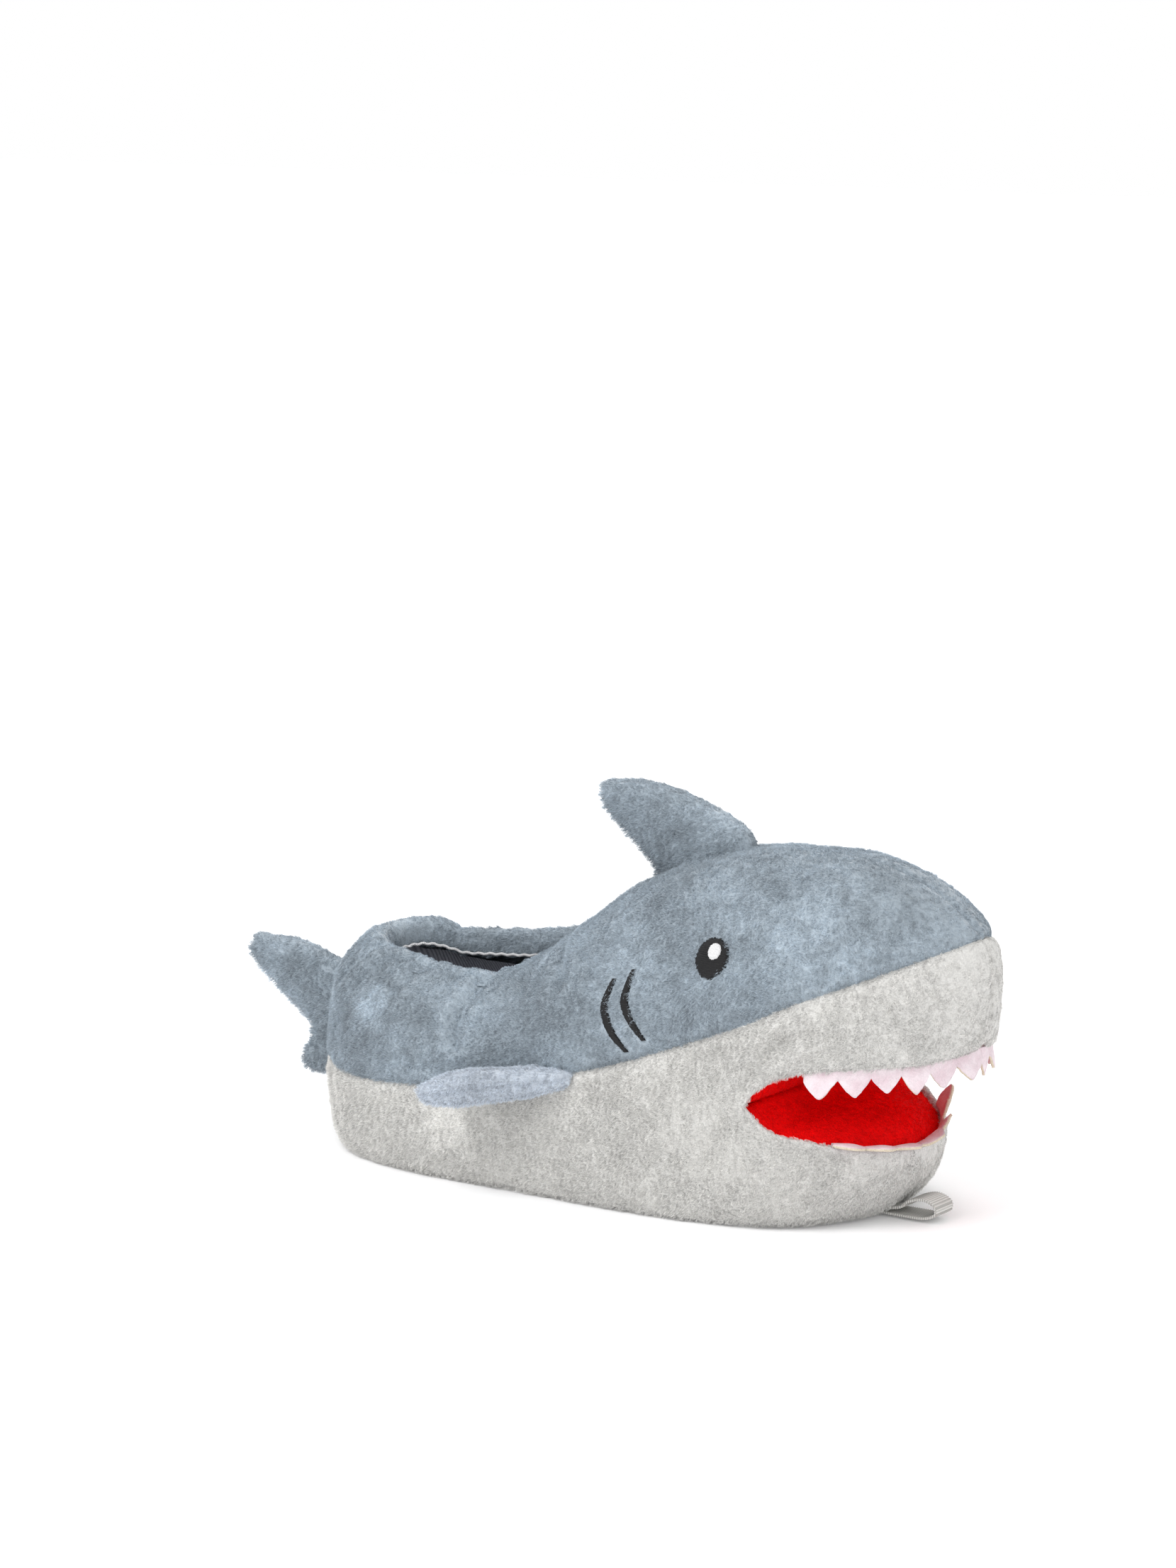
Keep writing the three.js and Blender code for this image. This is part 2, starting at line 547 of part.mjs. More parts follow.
{
  const inset = 0.7;          // the felt is sewn in just behind the lip
  const right = [88, 95, 104, 113, 122, 130, 137, 142, 144.5].map((x) => {
    const [, y, z] = curve(SNOUT, stationOf(SNOUT, x));
    return [x - inset, -Math.max(CENTRE, y - inset), z - 1];
  });
  const path = lipPath(right, TOOTH.pitch * UPPER_TEETH / 2, TOOTH.steps);
  const wall = (out) => path.map((p) => {
    const drop = zigzag(p.distance);
    return steps(0, 1, 2).map((k) => [p.x + p.outX * out, p.y + p.outY * out, p.z - k * drop]);
  });
  add('upper_teeth', between(wall(0), wall(-FELT)), 'felt_white');
}
{
  // The felt stands up at the left and flops outwards at the right.
  const right = steps(1, JAW.length - 1, 12).map((s) => {
    const [x, y, z] = jawLip(s, 1);
    return [x, -y, z + TOOTH_LIFT];
  });
  const reach = TOOTH.pitch * LOWER_TEETH / 2;
  const path = lipPath(right, reach, TOOTH.steps);
  const { degToRad, mapLinear } = THREE.MathUtils;
  const lean = (p) => degToRad(mapLinear(p.distance, -reach, reach, LEAN.right, LEAN.left));
  const wall = (lift) => path.map((p) => {
    const rise = zigzag(p.distance);
    const [sine, cosine] = [Math.sin(lean(p)), Math.cos(lean(p))];
    return steps(0, 1, 2).map((k) => {
      const out = k * rise * sine - lift * cosine;
      return [p.x + p.outX * out, p.y + p.outY * out, p.z + k * rise * cosine + lift * sine];
    });
  });
  add('lower_teeth', between(wall(0), wall(FELT)), 'felt_white');
}

// ---- embroidery ----
function onHead(x, z, across, up, height, side) {
  const s = stationOf(BODY, x + across);
  const t = shareAt(BODY, s, z);
  const a = new THREE.Vector3(...sectionPoint(BODY, s, t - TINY));
  const b = new THREE.Vector3(...sectionPoint(BODY, s, t + TINY));
  const rate = a.distanceTo(b) / (2 * TINY);
  return under(surfaces.body, s, t + up / rate, -height, side);
}

// A drop of thread: its middle is closed by a small cap rather than a hole.
function stitched(x, z, radiusX, radiusUp, low, high, side) {
  const rings = [0.45, 1];
  const turns = steps(0, 2 * Math.PI, 20).slice(0, -1);
  const layer = (height) => {
    const centre = onHead(x, z, 0, 0, height, side);
    return { centre, rings: rings.map((r) => turns.map((turn) => onHead(x, z, r * radiusX * Math.cos(turn),
      r * radiusUp * Math.sin(turn), height, side))) };
  };
  const [top, bottom] = [layer(high), layer(low)];
  const points = [top.centre, ...top.rings.flat(), bottom.centre, ...bottom.rings.flat()];
  const count = turns.length;
  const base = 1 + 2 * count;
  const faces = [];
  for (let k = 0; k < count; k++) {
    const next = (k + 1) % count;
    const [a, b, c, d] = [1 + k, 1 + next, 1 + count + k, 1 + count + next];
    faces.push([0, a, b], [a, c, d], [a, d, b]);
    faces.push([base, base + b, base + a], [base + a, base + d, base + c], [base + a, base + b, base + d]);
    faces.push([c, base + c, base + d], [c, base + d, d]);
  }
  return solidFrom(points, faces);
}

const EYE = { x: 64.5, z: 90.5, radiusX: 6, radiusUp: 7 };
const SPOT = { x: 64.6, z: 92.5, radiusX: 2.3, radiusUp: 2.7, height: 0.6 };
const GILLS = [
  { name: 'rear', line: [[26.9, 79.2], [25.3, 70.5], [29.6, 62.4], [36.8, 56.5]] },
  { name: 'front', line: [[34.3, 83.1], [33.2, 73.6], [36.8, 67.2], [43.3, 61.1]] },
];
const GILL = { end: 0.25, middle: 1.15, fullness: 0.7 };   // half widths
for (const [side, name] of SIDES) {
  const top = GAP + STITCH;
  add(`eye_${name}`, stitched(EYE.x, EYE.z, EYE.radiusX, EYE.radiusUp, GAP, top, side), 'thread_black');
  const spotTop = top + GAP + SPOT.height;
  const spot = stitched(SPOT.x, SPOT.z, SPOT.radiusX, SPOT.radiusUp, top + GAP, spotTop, side);
  add(`eye_spot_${name}`, spot, 'thread_white');
  for (const gill of GILLS) {
    const line = new THREE.CatmullRomCurve3(gill.line.map(([x, z]) => new THREE.Vector3(x, 0, z)));
    const shares = steps(0, 1, 12);
    const grid = (height) => shares.map((q) => {
      const p = line.getPoint(q);
      const half = GILL.end + GILL.middle * Math.sin(Math.PI * (q * 0.9 + 0.05)) ** GILL.fullness;
      return [-1, 0, 1].map((k) => onHead(p.x, p.z, k * half, 0, height, side));
    });
    add(`gill_${gill.name}_${name}`, between(grid(GAP + STITCH), grid(GAP)), 'thread_black');
  }
}

// ---- fins: two plush faces over a filling ----
const LARGEST_TRIM = 0.45;    // of a chord
const FIN_FULLNESS = 0.75;
const TIP = { skin: 0.25, filling: 0.35 };   // stations left solid at the tip
// A fin is a run of lens sections; each row holds both ends of its chord and its half thickness.
function finPoint(fin, s, t, face, inset) {
  const [ax, ay, az, bx, by, bz, thick] = curve(fin.rows, s);
  const length = Math.hypot(bx - ax, by - ay, bz - az);
  const trim = Math.min(LARGEST_TRIM, inset / length);
  const along = trim + (1 - 2 * trim) * (1 - Math.cos(Math.PI * t)) / 2;
  const half = Math.max(LOOSE, thick - inset) * Math.sin(Math.PI * t) ** FIN_FULLNESS;
  const out = face * (half + (inset > 0 ? 0 : SEAM));
  return [ax + (bx - ax) * along + fin.normal[0] * out, ay + (by - ay) * along + fin.normal[1] * out,
    az + (bz - az) * along + fin.normal[2] * out];
}

function fin(name, faces, slots, shape) {
  const last = shape.rows.length - 1;
  const stations = steps(0, last, last * 2);
  const shares = steps(0, 1, 6);
  faces.forEach(([face, label], k) => {
    const tip = (s) => Math.min(s, last - TIP.skin);
    const seamed = ([x, y, z]) => [x + shape.normal[0] * face * SEAM, y + shape.normal[1] * face * SEAM,
      z + shape.normal[2] * face * SEAM];
    const outer = stations.map((s) => shares.map((t) => finPoint(shape, s, t, face, 0)));
    const inner = stations.map((s) => shares.map((t) => seamed(finPoint(shape, tip(s), t, face, SKIN))));
    add(`${name}_${label}`, between(outer, inner), slots[k]);
  });
  const coreStations = steps(0, last - TIP.filling, last * 2 - 1);
  const side = (face) => coreStations.map((s) => shares.map((t) => finPoint(shape, s, t, face, FILL + 2 * LOOSE)));
  add(`${name}_filling`, between(side(1), side(-1)), 'fibre');
}

const DORSAL = {
  normal: [0, 1, 0],
  rows: [
    [53, 0, 123.8, 11, 0, 109, 3.2],
    [50, 0, 128.2, 8.4, 0, 112.4, 7],
    [42, 0, 133, 3, 0, 117.5, 7],
    [31, 0, 136.5, -2, 0, 123.5, 6.6],
    [19, 0, 139.6, -6.5, 0, 129, 6],
    [9, 0, 141.3, -9.5, 0, 133, 5],
    [2, 0, 141.2, -9.5, 0, 136, 4],
    [-3, 0, 140.2, -7.5, 0, 138.5, 2.6],
  ],
};
fin('dorsal_fin', [[-1, 'right'], [1, 'left']], ['plush_blue', 'plush_blue'], DORSAL);

const TAIL = {
  normal: [0, 1, 0],
  rows: [
    [-141, 0, 14.2, -144.5, 0, 15.5, 2.4],
    [-135.5, 0, 14.2, -145.8, 0, 18.3, 3.8],
    [-128.5, 0, 16, -145, 0, 22, 4.6],
    [-123.8, 0, 23.5, -141.8, 0, 28, 5],
    [-122.8, 0, 34, -142, 0, 32.5, 5.2],
    [-122.8, 0, 45, -149, 0, 38, 5.4],
    [-124.3, 0, 53.5, -156.5, 0, 43.3, 5.2],
    [-133, 0, 58.8, -163.5, 0, 48.5, 5],
    [-145, 0, 62, -168.5, 0, 53, 4.6],
    [-155, 0, 62.8, -171, 0, 56.5, 3.8],
    [-161.5, 0, 62.4, -169.5, 0, 60, 2.4],
  ],
};
fin('tail_fin', [[-1, 'right'], [1, 'left']], ['plush_blue', 'plush_blue'], TAIL);

for (const [side, name] of SIDES) {
  const flank = (rows) => rows.map(([ax, ay, az, bx, by, bz, thick]) => [
    ax, side * ay, az, bx, side * by, bz, thick]);
  const PECTORAL = {
    normal: [0, side * 0.26, 0.966],
    rows: flank([
      [18, 58.6, 46.6, -12, 59.8, 41.8, 3],
      [13.5, 62, 45.2, -17, 62.5, 40.6, 5.6],
      [6, 66.5, 43.6, -21, 65.5, 39.8, 6.2],
      [-3.5, 71, 41.8, -24.5, 68.5, 38.8, 6.2],
      [-13, 75, 40, -28, 71.5, 37.8, 5.6],
      [-21, 77.6, 38.4, -31, 74.4, 37, 4.4],
      [-27, 78.6, 37.4, -32.5, 76.8, 36.6, 2.8],
    ]),
  };
  fin(`pectoral_fin_${name}`, [[1, 'top'], [-1, 'under']], ['plush_blue', 'plush_blue'], PECTORAL);
}

// ---- ribbon loop at the toe ----
{
  const RIBBON_WIDTH = 11;
  const line = new THREE.CatmullRomCurve3([[115, 1.1], [120, 1.1], [127, 1.1], [132, 3.4], [131.6, 7.4],
    [127, 9.4], [121.5, 7.4], [117.6, 3.4]].map(([x, z]) => new THREE.Vector3(x, 0, z)), false,
  'centripetal');
  const shares = steps(0, 1, 22);
  const wall = (out) => shares.map((q) => {
    const p = line.getPointAt(q);
    const along = line.getTangentAt(q);
    return [-RIBBON_WIDTH / 2, RIBBON_WIDTH / 2].map((y) => [p.x + along.z * out, y, p.z - along.x * out]);
  });
  add('toe_ribbon', between(wall(RIBBON / 2), wall(-RIBBON / 2)), 'ribbon_grey');
}

export default part;
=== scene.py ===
"""The looks of a plush shark slipper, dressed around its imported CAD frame.

Lengths in the tables are millimetres in the frame's axes: +X to the nose, +Y to the
shark's left, +Z up. Meshes are metres.
"""

import math

import bmesh
import bpy
import numpy as np
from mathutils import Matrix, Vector
from mathutils.kdtree import KDTree


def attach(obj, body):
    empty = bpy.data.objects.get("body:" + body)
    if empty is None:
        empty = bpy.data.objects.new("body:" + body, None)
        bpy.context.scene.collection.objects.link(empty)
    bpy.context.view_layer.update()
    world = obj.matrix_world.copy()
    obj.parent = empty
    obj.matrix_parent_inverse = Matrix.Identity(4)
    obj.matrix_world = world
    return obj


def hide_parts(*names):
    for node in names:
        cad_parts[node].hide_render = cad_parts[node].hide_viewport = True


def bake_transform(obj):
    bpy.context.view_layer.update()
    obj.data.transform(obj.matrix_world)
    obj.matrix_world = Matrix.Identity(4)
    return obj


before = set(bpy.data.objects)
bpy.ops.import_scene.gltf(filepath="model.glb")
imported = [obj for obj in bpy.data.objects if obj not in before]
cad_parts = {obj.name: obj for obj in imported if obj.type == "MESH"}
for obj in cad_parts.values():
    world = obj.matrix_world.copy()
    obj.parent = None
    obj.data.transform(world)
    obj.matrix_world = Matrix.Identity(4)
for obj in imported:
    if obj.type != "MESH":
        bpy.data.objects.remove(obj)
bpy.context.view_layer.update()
scene = bpy.context.scene

MM = 0.001
STEP = 1.3                    # size of a face of plush
SPLIT = 0.35                  # share of a section under its widest place
HULL = 0.8                    # roundness of a section under its widest place, and above it
CROWN = 0.92
HEEL_FROM = -84               # behind here the sides stand up straighter
HEEL_SQUARE = 0.37
CHIN_SLOPE = 0.9              # the chin slopes more, the nearer it comes to the tip
MOUTH_X = 82                  # corner of the mouth
NOSE_SEAM_X = 146.5           # where the side seams meet
OPEN_BACK = -105.5            # the foot opening's ends and its half width
OPEN_FRONT = -9
OPEN_HALF = 30.5

# x, half width and height at the sole edge, the same at the widest place, the ridge's height.
BODY = np.array([
    [-120, 0, 32, 0, 32, 32], [-118.8, 0, 13, 12, 31.5, 49.5], [-115, 11, 3, 21, 31, 63],
    [-108, 23.5, 1, 32, 31, 71.5], [-100.5, 32.5, 1, 40.5, 31, 75.5],
    [-91.5, 40.5, 1, 47.5, 31, 76.5], [-78, 48, 1, 53.5, 31, 76], [-60, 52, 1, 57, 32, 75], [-42, 53, 1, 58, 33, 76.5],
    [-27, 53, 1, 58, 34, 79.5], [-14, 53, 1, 58, 35, 84.5], [-3, 53, 1, 57.5, 36, 92.5],
    [14, 53, 1, 57, 37, 105], [38, 52, 1, 55.5, 39, 116], [62, 49, 1, 53, 41, 121.5],
    [82, 43, 1, 50.5, 43, 122.5]], float)
SNOUT = np.array([
    [82, 50.5, 43, 50.5, 43, 122.5], [87, 49, 49.8, 49.6, 51.2, 122.6],
    [94, 46.5, 54.6, 48, 58.5, 122.5], [107, 42, 57.8, 43.5, 67, 120.5],
    [119, 36, 59, 38, 73, 117], [130, 28, 60, 30, 79, 111.5], [139, 18, 61, 20.5, 84, 105],
    [145, 4, 63, 12, 86, 99], [147.7, 0, 70, 5.5, 87, 93.5], [149, 0, 87, 0, 87, 87]], float)
HOLLOW = np.array([
    [-107.6, 0, 30, 0, 30, 30], [-107.5, 0, 18, 5, 28, 44], [-107.2, 5, 10.3, 10, 27, 54],
    [-106.8, 12, 10.3, 17, 26, 61], [-103.5, 20, 10.3, 25, 26, 70], [-93.5, 30, 10.3, 36, 26, 71.5],
    [-78, 35.5, 10.3, 41.5, 26, 69], [-60, 37.5, 10.3, 43, 26, 69], [-42, 39, 10.3, 43.5, 26, 69.5],
    [-27, 40.5, 10.3, 44, 26, 71], [-14, 41.5, 10.3, 44.5, 26, 73], [-3, 42, 10.3, 44.5, 26, 74],
    [14, 42, 10.3, 44.5, 25, 64], [38, 41, 10.3, 43.5, 24, 51], [62, 38, 10.3, 41, 22, 42],
    [82, 33, 10.3, 36.5, 20, 35]], float)
# x and half width at the sole edge, then the lip's x, half width and height.
JAW = np.array([
    [82, 43, 82, 50.5, 43], [89, 38.5, 91, 47, 34.3], [95.5, 32, 101, 41.5, 31.4],
    [101, 23, 111, 33, 28.6], [105.5, 13, 118.5, 22, 26.6], [108, 4, 123, 9.5, 25.4],
    [108.5, 0, 124, 0, 25]], float)
TOE = np.array([
    [82, 33, 10.3, 36.5, 20, 35], [88, 30, 10.3, 33, 19.5, 31.5], [93.5, 25, 10.3, 28, 19, 28.5],
    [98, 17.5, 10.3, 20.5, 18.5, 25.5], [100.8, 9, 10.8, 12, 18, 22.5], [102, 2, 13, 5, 17.5, 20],
    [102.3, 0, 17.5, 0, 17.5, 17.5]], float)
SEAM_LINE = np.array([
    [-120, 32], [-100, 30.5], [-77, 31], [-57, 32.5], [-30, 36], [-10, 40], [16, 46.5], [38, 53.5],
    [60, 62], [81, 70.5], [98, 79], [112, 85], [127, 91.5], [140, 97.5], [146.5, 101]], float)

# ---- camera, light and floor ----
CAMERA_PLACE = (0.8942, -1.27705, 0.41992)
CAMERA_TILT = 79.701
CAMERA_TURN = 35.509
CAMERA_LENS = 104.16
CAMERA_SENSOR = 36
CAMERA_REACH = 20
camera = bpy.data.objects.new("camera", bpy.data.cameras.new("camera"))
scene.collection.objects.link(camera)
camera.location = CAMERA_PLACE
camera.rotation_euler = (math.radians(CAMERA_TILT), 0, math.radians(CAMERA_TURN))
camera.data.lens = CAMERA_LENS
camera.data.sensor_width = CAMERA_SENSOR
camera.data.clip_end = CAMERA_REACH
scene.camera = camera
scene.view_settings.view_transform = "Standard"
scene.view_settings.look = "None"


def area_light(name, place, target, size, power):
    light = bpy.data.objects.new(name, bpy.data.lights.new(name, "AREA"))
    scene.collection.objects.link(light)
    light.location = place
    light.rotation_euler = (Vector(target) - Vector(place)).to_track_quat("-Z", "Y").to_euler()
    light.data.shape = "DISK"
    light.data.size = size
    light.data.energy = power


area_light("key", (-0.35, -1.1, 1.5), (-0.02, 0, 0.05), 1.0, 14.0)
area_light("fill", (1.3, -0.9, 0.6), (0.08, 0, 0.05), 0.9, 1.5)
area_light("rim", (-0.9, 0.8, 1.0), (0, 0, 0.06), 0.9, 7.0)

world = bpy.data.worlds.new("studio")
scene.world = world
world.use_nodes = True
world.node_tree.nodes["Background"].inputs["Color"].default_value = (1, 1, 1, 1)
world.node_tree.nodes["Background"].inputs["Strength"].default_value = 1.0


# ---- small tools ----
def lattice(i, j, k, seed):
    """A fixed number from -1 to 1 for each whole place."""
    h = (i * 374761393 + j * 668265263 + k * 2147483647 + seed * 1274126177) & 0xFFFFFFFF
    h = ((h ^ (h >> 13)) * 1274126177) & 0xFFFFFFFF
    return ((h ^ (h >> 16)) & 0xFFFF) / 32767.5 - 1


def noise(points, size, seed):
    """Smooth noise from -1 to 1; size is the cell's size, one number or one for each axis."""
    q = points / np.asarray(size, float)
    cell = np.floor(q).astype(np.int64)
    f = q - cell
    f = f * f * (3 - 2 * f)
    total = np.zeros(len(points))
    for a in (0, 1):
        for b in (0, 1):
            for c in (0, 1):
                weight = np.abs(1 - a - f[:, 0]) * np.abs(1 - b - f[:, 1]) * np.abs(1 - c - f[:, 2])
                total += weight * lattice(cell[:, 0] + a, cell[:, 1] + b, cell[:, 2] + c, seed)
    return total


def curve(rows, s):
    """Catmull-Rom through the rows of a table."""
    s = np.asarray(s, float)
    last = len(rows) - 1
    held = np.vstack([2 * rows[0] - rows[1], rows, 2 * rows[-1] - rows[-2]])
    i = np.clip(np.floor(s).astype(int), 0, last - 1)
    t = (s - i)[..., None]
    a, b, c, d = held[i], held[i + 1], held[i + 2], held[i + 3]
    return 0.5 * (2 * b + (c - a) * t + (2 * a - 5 * b + 4 * c - d) * t ** 2
                  + (3 * b - a - 3 * c + d) * t ** 3)


def station(rows, x):
    """Where along a table its first column is x, by halving."""
    x = np.asarray(x, float)
    low = np.zeros_like(x)
    high = np.full_like(x, len(rows) - 1.0)
    for _ in range(40):
        middle = (low + high) / 2
        before = curve(rows, middle)[..., 0] < x
        low = np.where(before, middle, low)
        high = np.where(before, high, middle)
    return (low + high) / 2


def seam_height(x):
    return curve(SEAM_LINE, station(SEAM_LINE, x))[..., 1]


def opening_half(x):
    """Half width of the foot opening."""
    away = np.abs(x - (OPEN_BACK + OPEN_FRONT) / 2) / ((OPEN_FRONT - OPEN_BACK) / 2)
    return OPEN_HALF * np.clip(1 - away ** 2.6, 0, None) ** (1 / 2.2)


def crown(rows, s):
    """Power of a section's upper part: the heel's is squarer."""
    if rows is SNOUT or rows is TOE:
        return np.full(np.shape(s), CROWN)
    back = np.clip((HEEL_FROM - curve(BODY, s)[..., 0]) / (HEEL_FROM - BODY[0][0]), 0, 1)
    return CROWN - HEEL_SQUARE * back * back * (3 - 2 * back)


def top_angle(rows, s, y_wide):
    """Angle at which a section ends: at the ridge, or at the opening."""
    if rows is SNOUT or rows is TOE:
        return np.full(np.shape(y_wide), math.pi / 2)
    cut = opening_half(curve(BODY, s)[..., 0])
    share = np.clip(cut / np.maximum(y_wide, 1e-6), 0, 0.98)
    return np.where(cut > 0, np.arccos(share ** (1 / crown(rows, s))), math.pi / 2)


def section(rows, s, t):
    """Points of a half section: t is 0 at the sole edge, 1 at the ridge or the opening."""
    s, t = np.broadcast_arrays(np.asarray(s, float), np.asarray(t, float))
    x, y_low, z_low, y_wide, z_wide, z_ridge = np.moveaxis(curve(rows, s), -1, 0)
    low = np.clip((SPLIT - t) / SPLIT, 0, 1) * math.pi / 2
    top = top_angle(rows, s, y_wide)
    power = crown(rows, s)
    high = np.clip((t - SPLIT) / (1 - SPLIT), 0, 1) * top
    under = t < SPLIT
    y = np.where(under, y_low + (y_wide - y_low) * np.cos(low) ** HULL,
                 y_wide * np.clip(np.cos(high), 0, 1) ** power)
    z = np.where(under, z_wide - (z_wide - z_low) * np.sin(low),
                 z_wide + (z_ridge - z_wide) * np.sin(high))
    y = np.where(t >= 1 - 1e-9, y_wide * np.clip(np.cos(top) - 1e-12, 0, 1) ** power, y)
    return np.stack([x, np.maximum(0, y), z], -1)


def share_at(rows, s, z):
    """The share t of a section at height z."""
    x, _, z_low, y_wide, z_wide, z_ridge = np.moveaxis(curve(rows, s), -1, 0)
    below = SPLIT * (1 - np.arcsin(np.clip((z_wide - z) / np.maximum(z_wide - z_low, 1e-6), 0, 1))
                     / (math.pi / 2))
    above = np.arcsin(np.clip((z - z_wide) / np.maximum(z_ridge - z_wide, 1e-6), 0, 1))
    above = SPLIT + (1 - SPLIT) * np.minimum(1, above / top_angle(rows, s, y_wide))
    return np.where(z <= z_wide, below, above)


def seam_share(rows, s):
    x = curve(rows, s)[..., 0]
    found = share_at(rows, s, seam_height(np.minimum(x, NOSE_SEAM_X)))
    return np.where(x >= NOSE_SEAM_X, 1.0, found)


def jaw_point(s, t):
    x_sole, y_sole, x_lip, y_lip, z_lip = np.moveaxis(curve(JAW, s), -1, 0)
    angle = (1 - t) * math.pi / 2
    out = np.cos(angle) ** (HULL + CHIN_SLOPE * np.asarray(s) / (len(JAW) - 1))
    return np.stack([x_sole + (x_lip - x_sole) * out, np.maximum(0, y_sole + (y_lip - y_sole) * out),
                     z_lip - (z_lip - 1) * np.sin(angle)], -1)


def lengths(points):
    return np.concatenate([[0], np.cumsum(np.linalg.norm(np.diff(points, axis=0), axis=1))])


def unit(vectors):
    return vectors / np.linalg.norm(vectors, axis=1, keepdims=True)


def evenly(points, count):
    """The shares along a dense row of points that cut it into equal lengths."""
    length = lengths(points)
    return np.interp(np.linspace(0, length[-1], count), length, np.linspace(0, 1, len(points)))


def resample(points, step, closed=False):
    if closed:
        points = np.vstack([points, points[:1]])
    length = lengths(points)
    count = max(2, int(round(length[-1] / step)))
    at = np.linspace(0, length[-1], count + 1)
    found = np.stack([np.interp(at, length, points[:, k]) for k in range(3)], 1)
    return found[:-1] if closed else found


def quads_of(rows, columns, wrap=False):
    i, j = np.meshgrid(np.arange(rows if wrap else rows - 1), np.arange(columns - 1), indexing="ij")
    i, j = i.ravel(), j.ravel()
    n = (i + 1) % rows
    return np.stack([i * columns + j, n * columns + j, n * columns + j + 1, i * columns + j + 1], 1)


def facing(points, quads, centre):
    """Turns a patch's faces so that they look away from a line along its middle."""
    a, b, c, d = (points[quads[:, k]] for k in range(4))
    normal = np.cross(c - a, d - b)
    middle = (a + b + c + d) / 4
    if np.sum(normal * (middle - centre(middle))) < 0:
        return quads[:, ::-1]
    return quads


def weld(points, quads):
    """Joins points that coincide; returns points, faces, and which quad each face was."""
    key = np.round(points, 3) + 0.0
    _, first, index = np.unique(key, axis=0, return_index=True, return_inverse=True)
    quads = index.ravel()[quads]
    same = quads == np.roll(quads, 1, axis=1)
    faces, where = [], []
    for w in np.nonzero(same.sum(1) == 0)[0]:
        a, b, c, d = map(int, quads[w])
        if a != c and b != d:
            faces.append([a, b, c, d])
            where.append(w)
    for w in np.nonzero(same.sum(1) == 1)[0]:
        three = [int(v) for v, drop in zip(quads[w], same[w]) if not drop]
        if len(set(three)) == 3:
            faces.append(three)
            where.append(w)
    return points[first], faces, np.array(where)


def joined(parts):
    """Welds grids of points, each given with the line that its faces look away from."""
    points, quads, count = [], [], 0
    for grid, centre in parts:
        flat = grid.reshape(-1, 3)
        points.append(flat)
        quads.append(facing(flat, quads_of(*grid.shape[:2]), centre) + count)
        count += len(flat)
    return weld(np.vstack(points), np.vstack(quads))


def make(name, points, faces, material):
    mesh = bpy.data.meshes.new(name)
    mesh.from_pydata((np.asarray(points) * MM).tolist(), [], [list(map(int, f)) for f in faces])
    mesh.polygons.foreach_set("use_smooth", [True] * len(mesh.polygons))
    mesh.materials.append(material)
    mesh.update()
    obj = bpy.data.objects.new(name, mesh)
    scene.collection.objects.link(obj)
    return obj


def vertex_normals(points, faces):
    mesh = bpy.data.meshes.new("scratch")
    mesh.from_pydata(np.asarray(points).tolist(), [], faces)
    found = np.empty(len(points) * 3, np.float32)
    mesh.vertex_normals.foreach_get("vector", found)
    bpy.data.meshes.remove(mesh)
    return found.reshape(-1, 3).astype(float)


def distances(points, line):
    tree = KDTree(len(line))
    for k, p in enumerate(line):
        tree.insert(p, k)
    tree.balance()
    return np.array([tree.find(p)[2] for p in points])


def mirrored(line):
    return np.asarray(line, float) * [1, -1, 1]


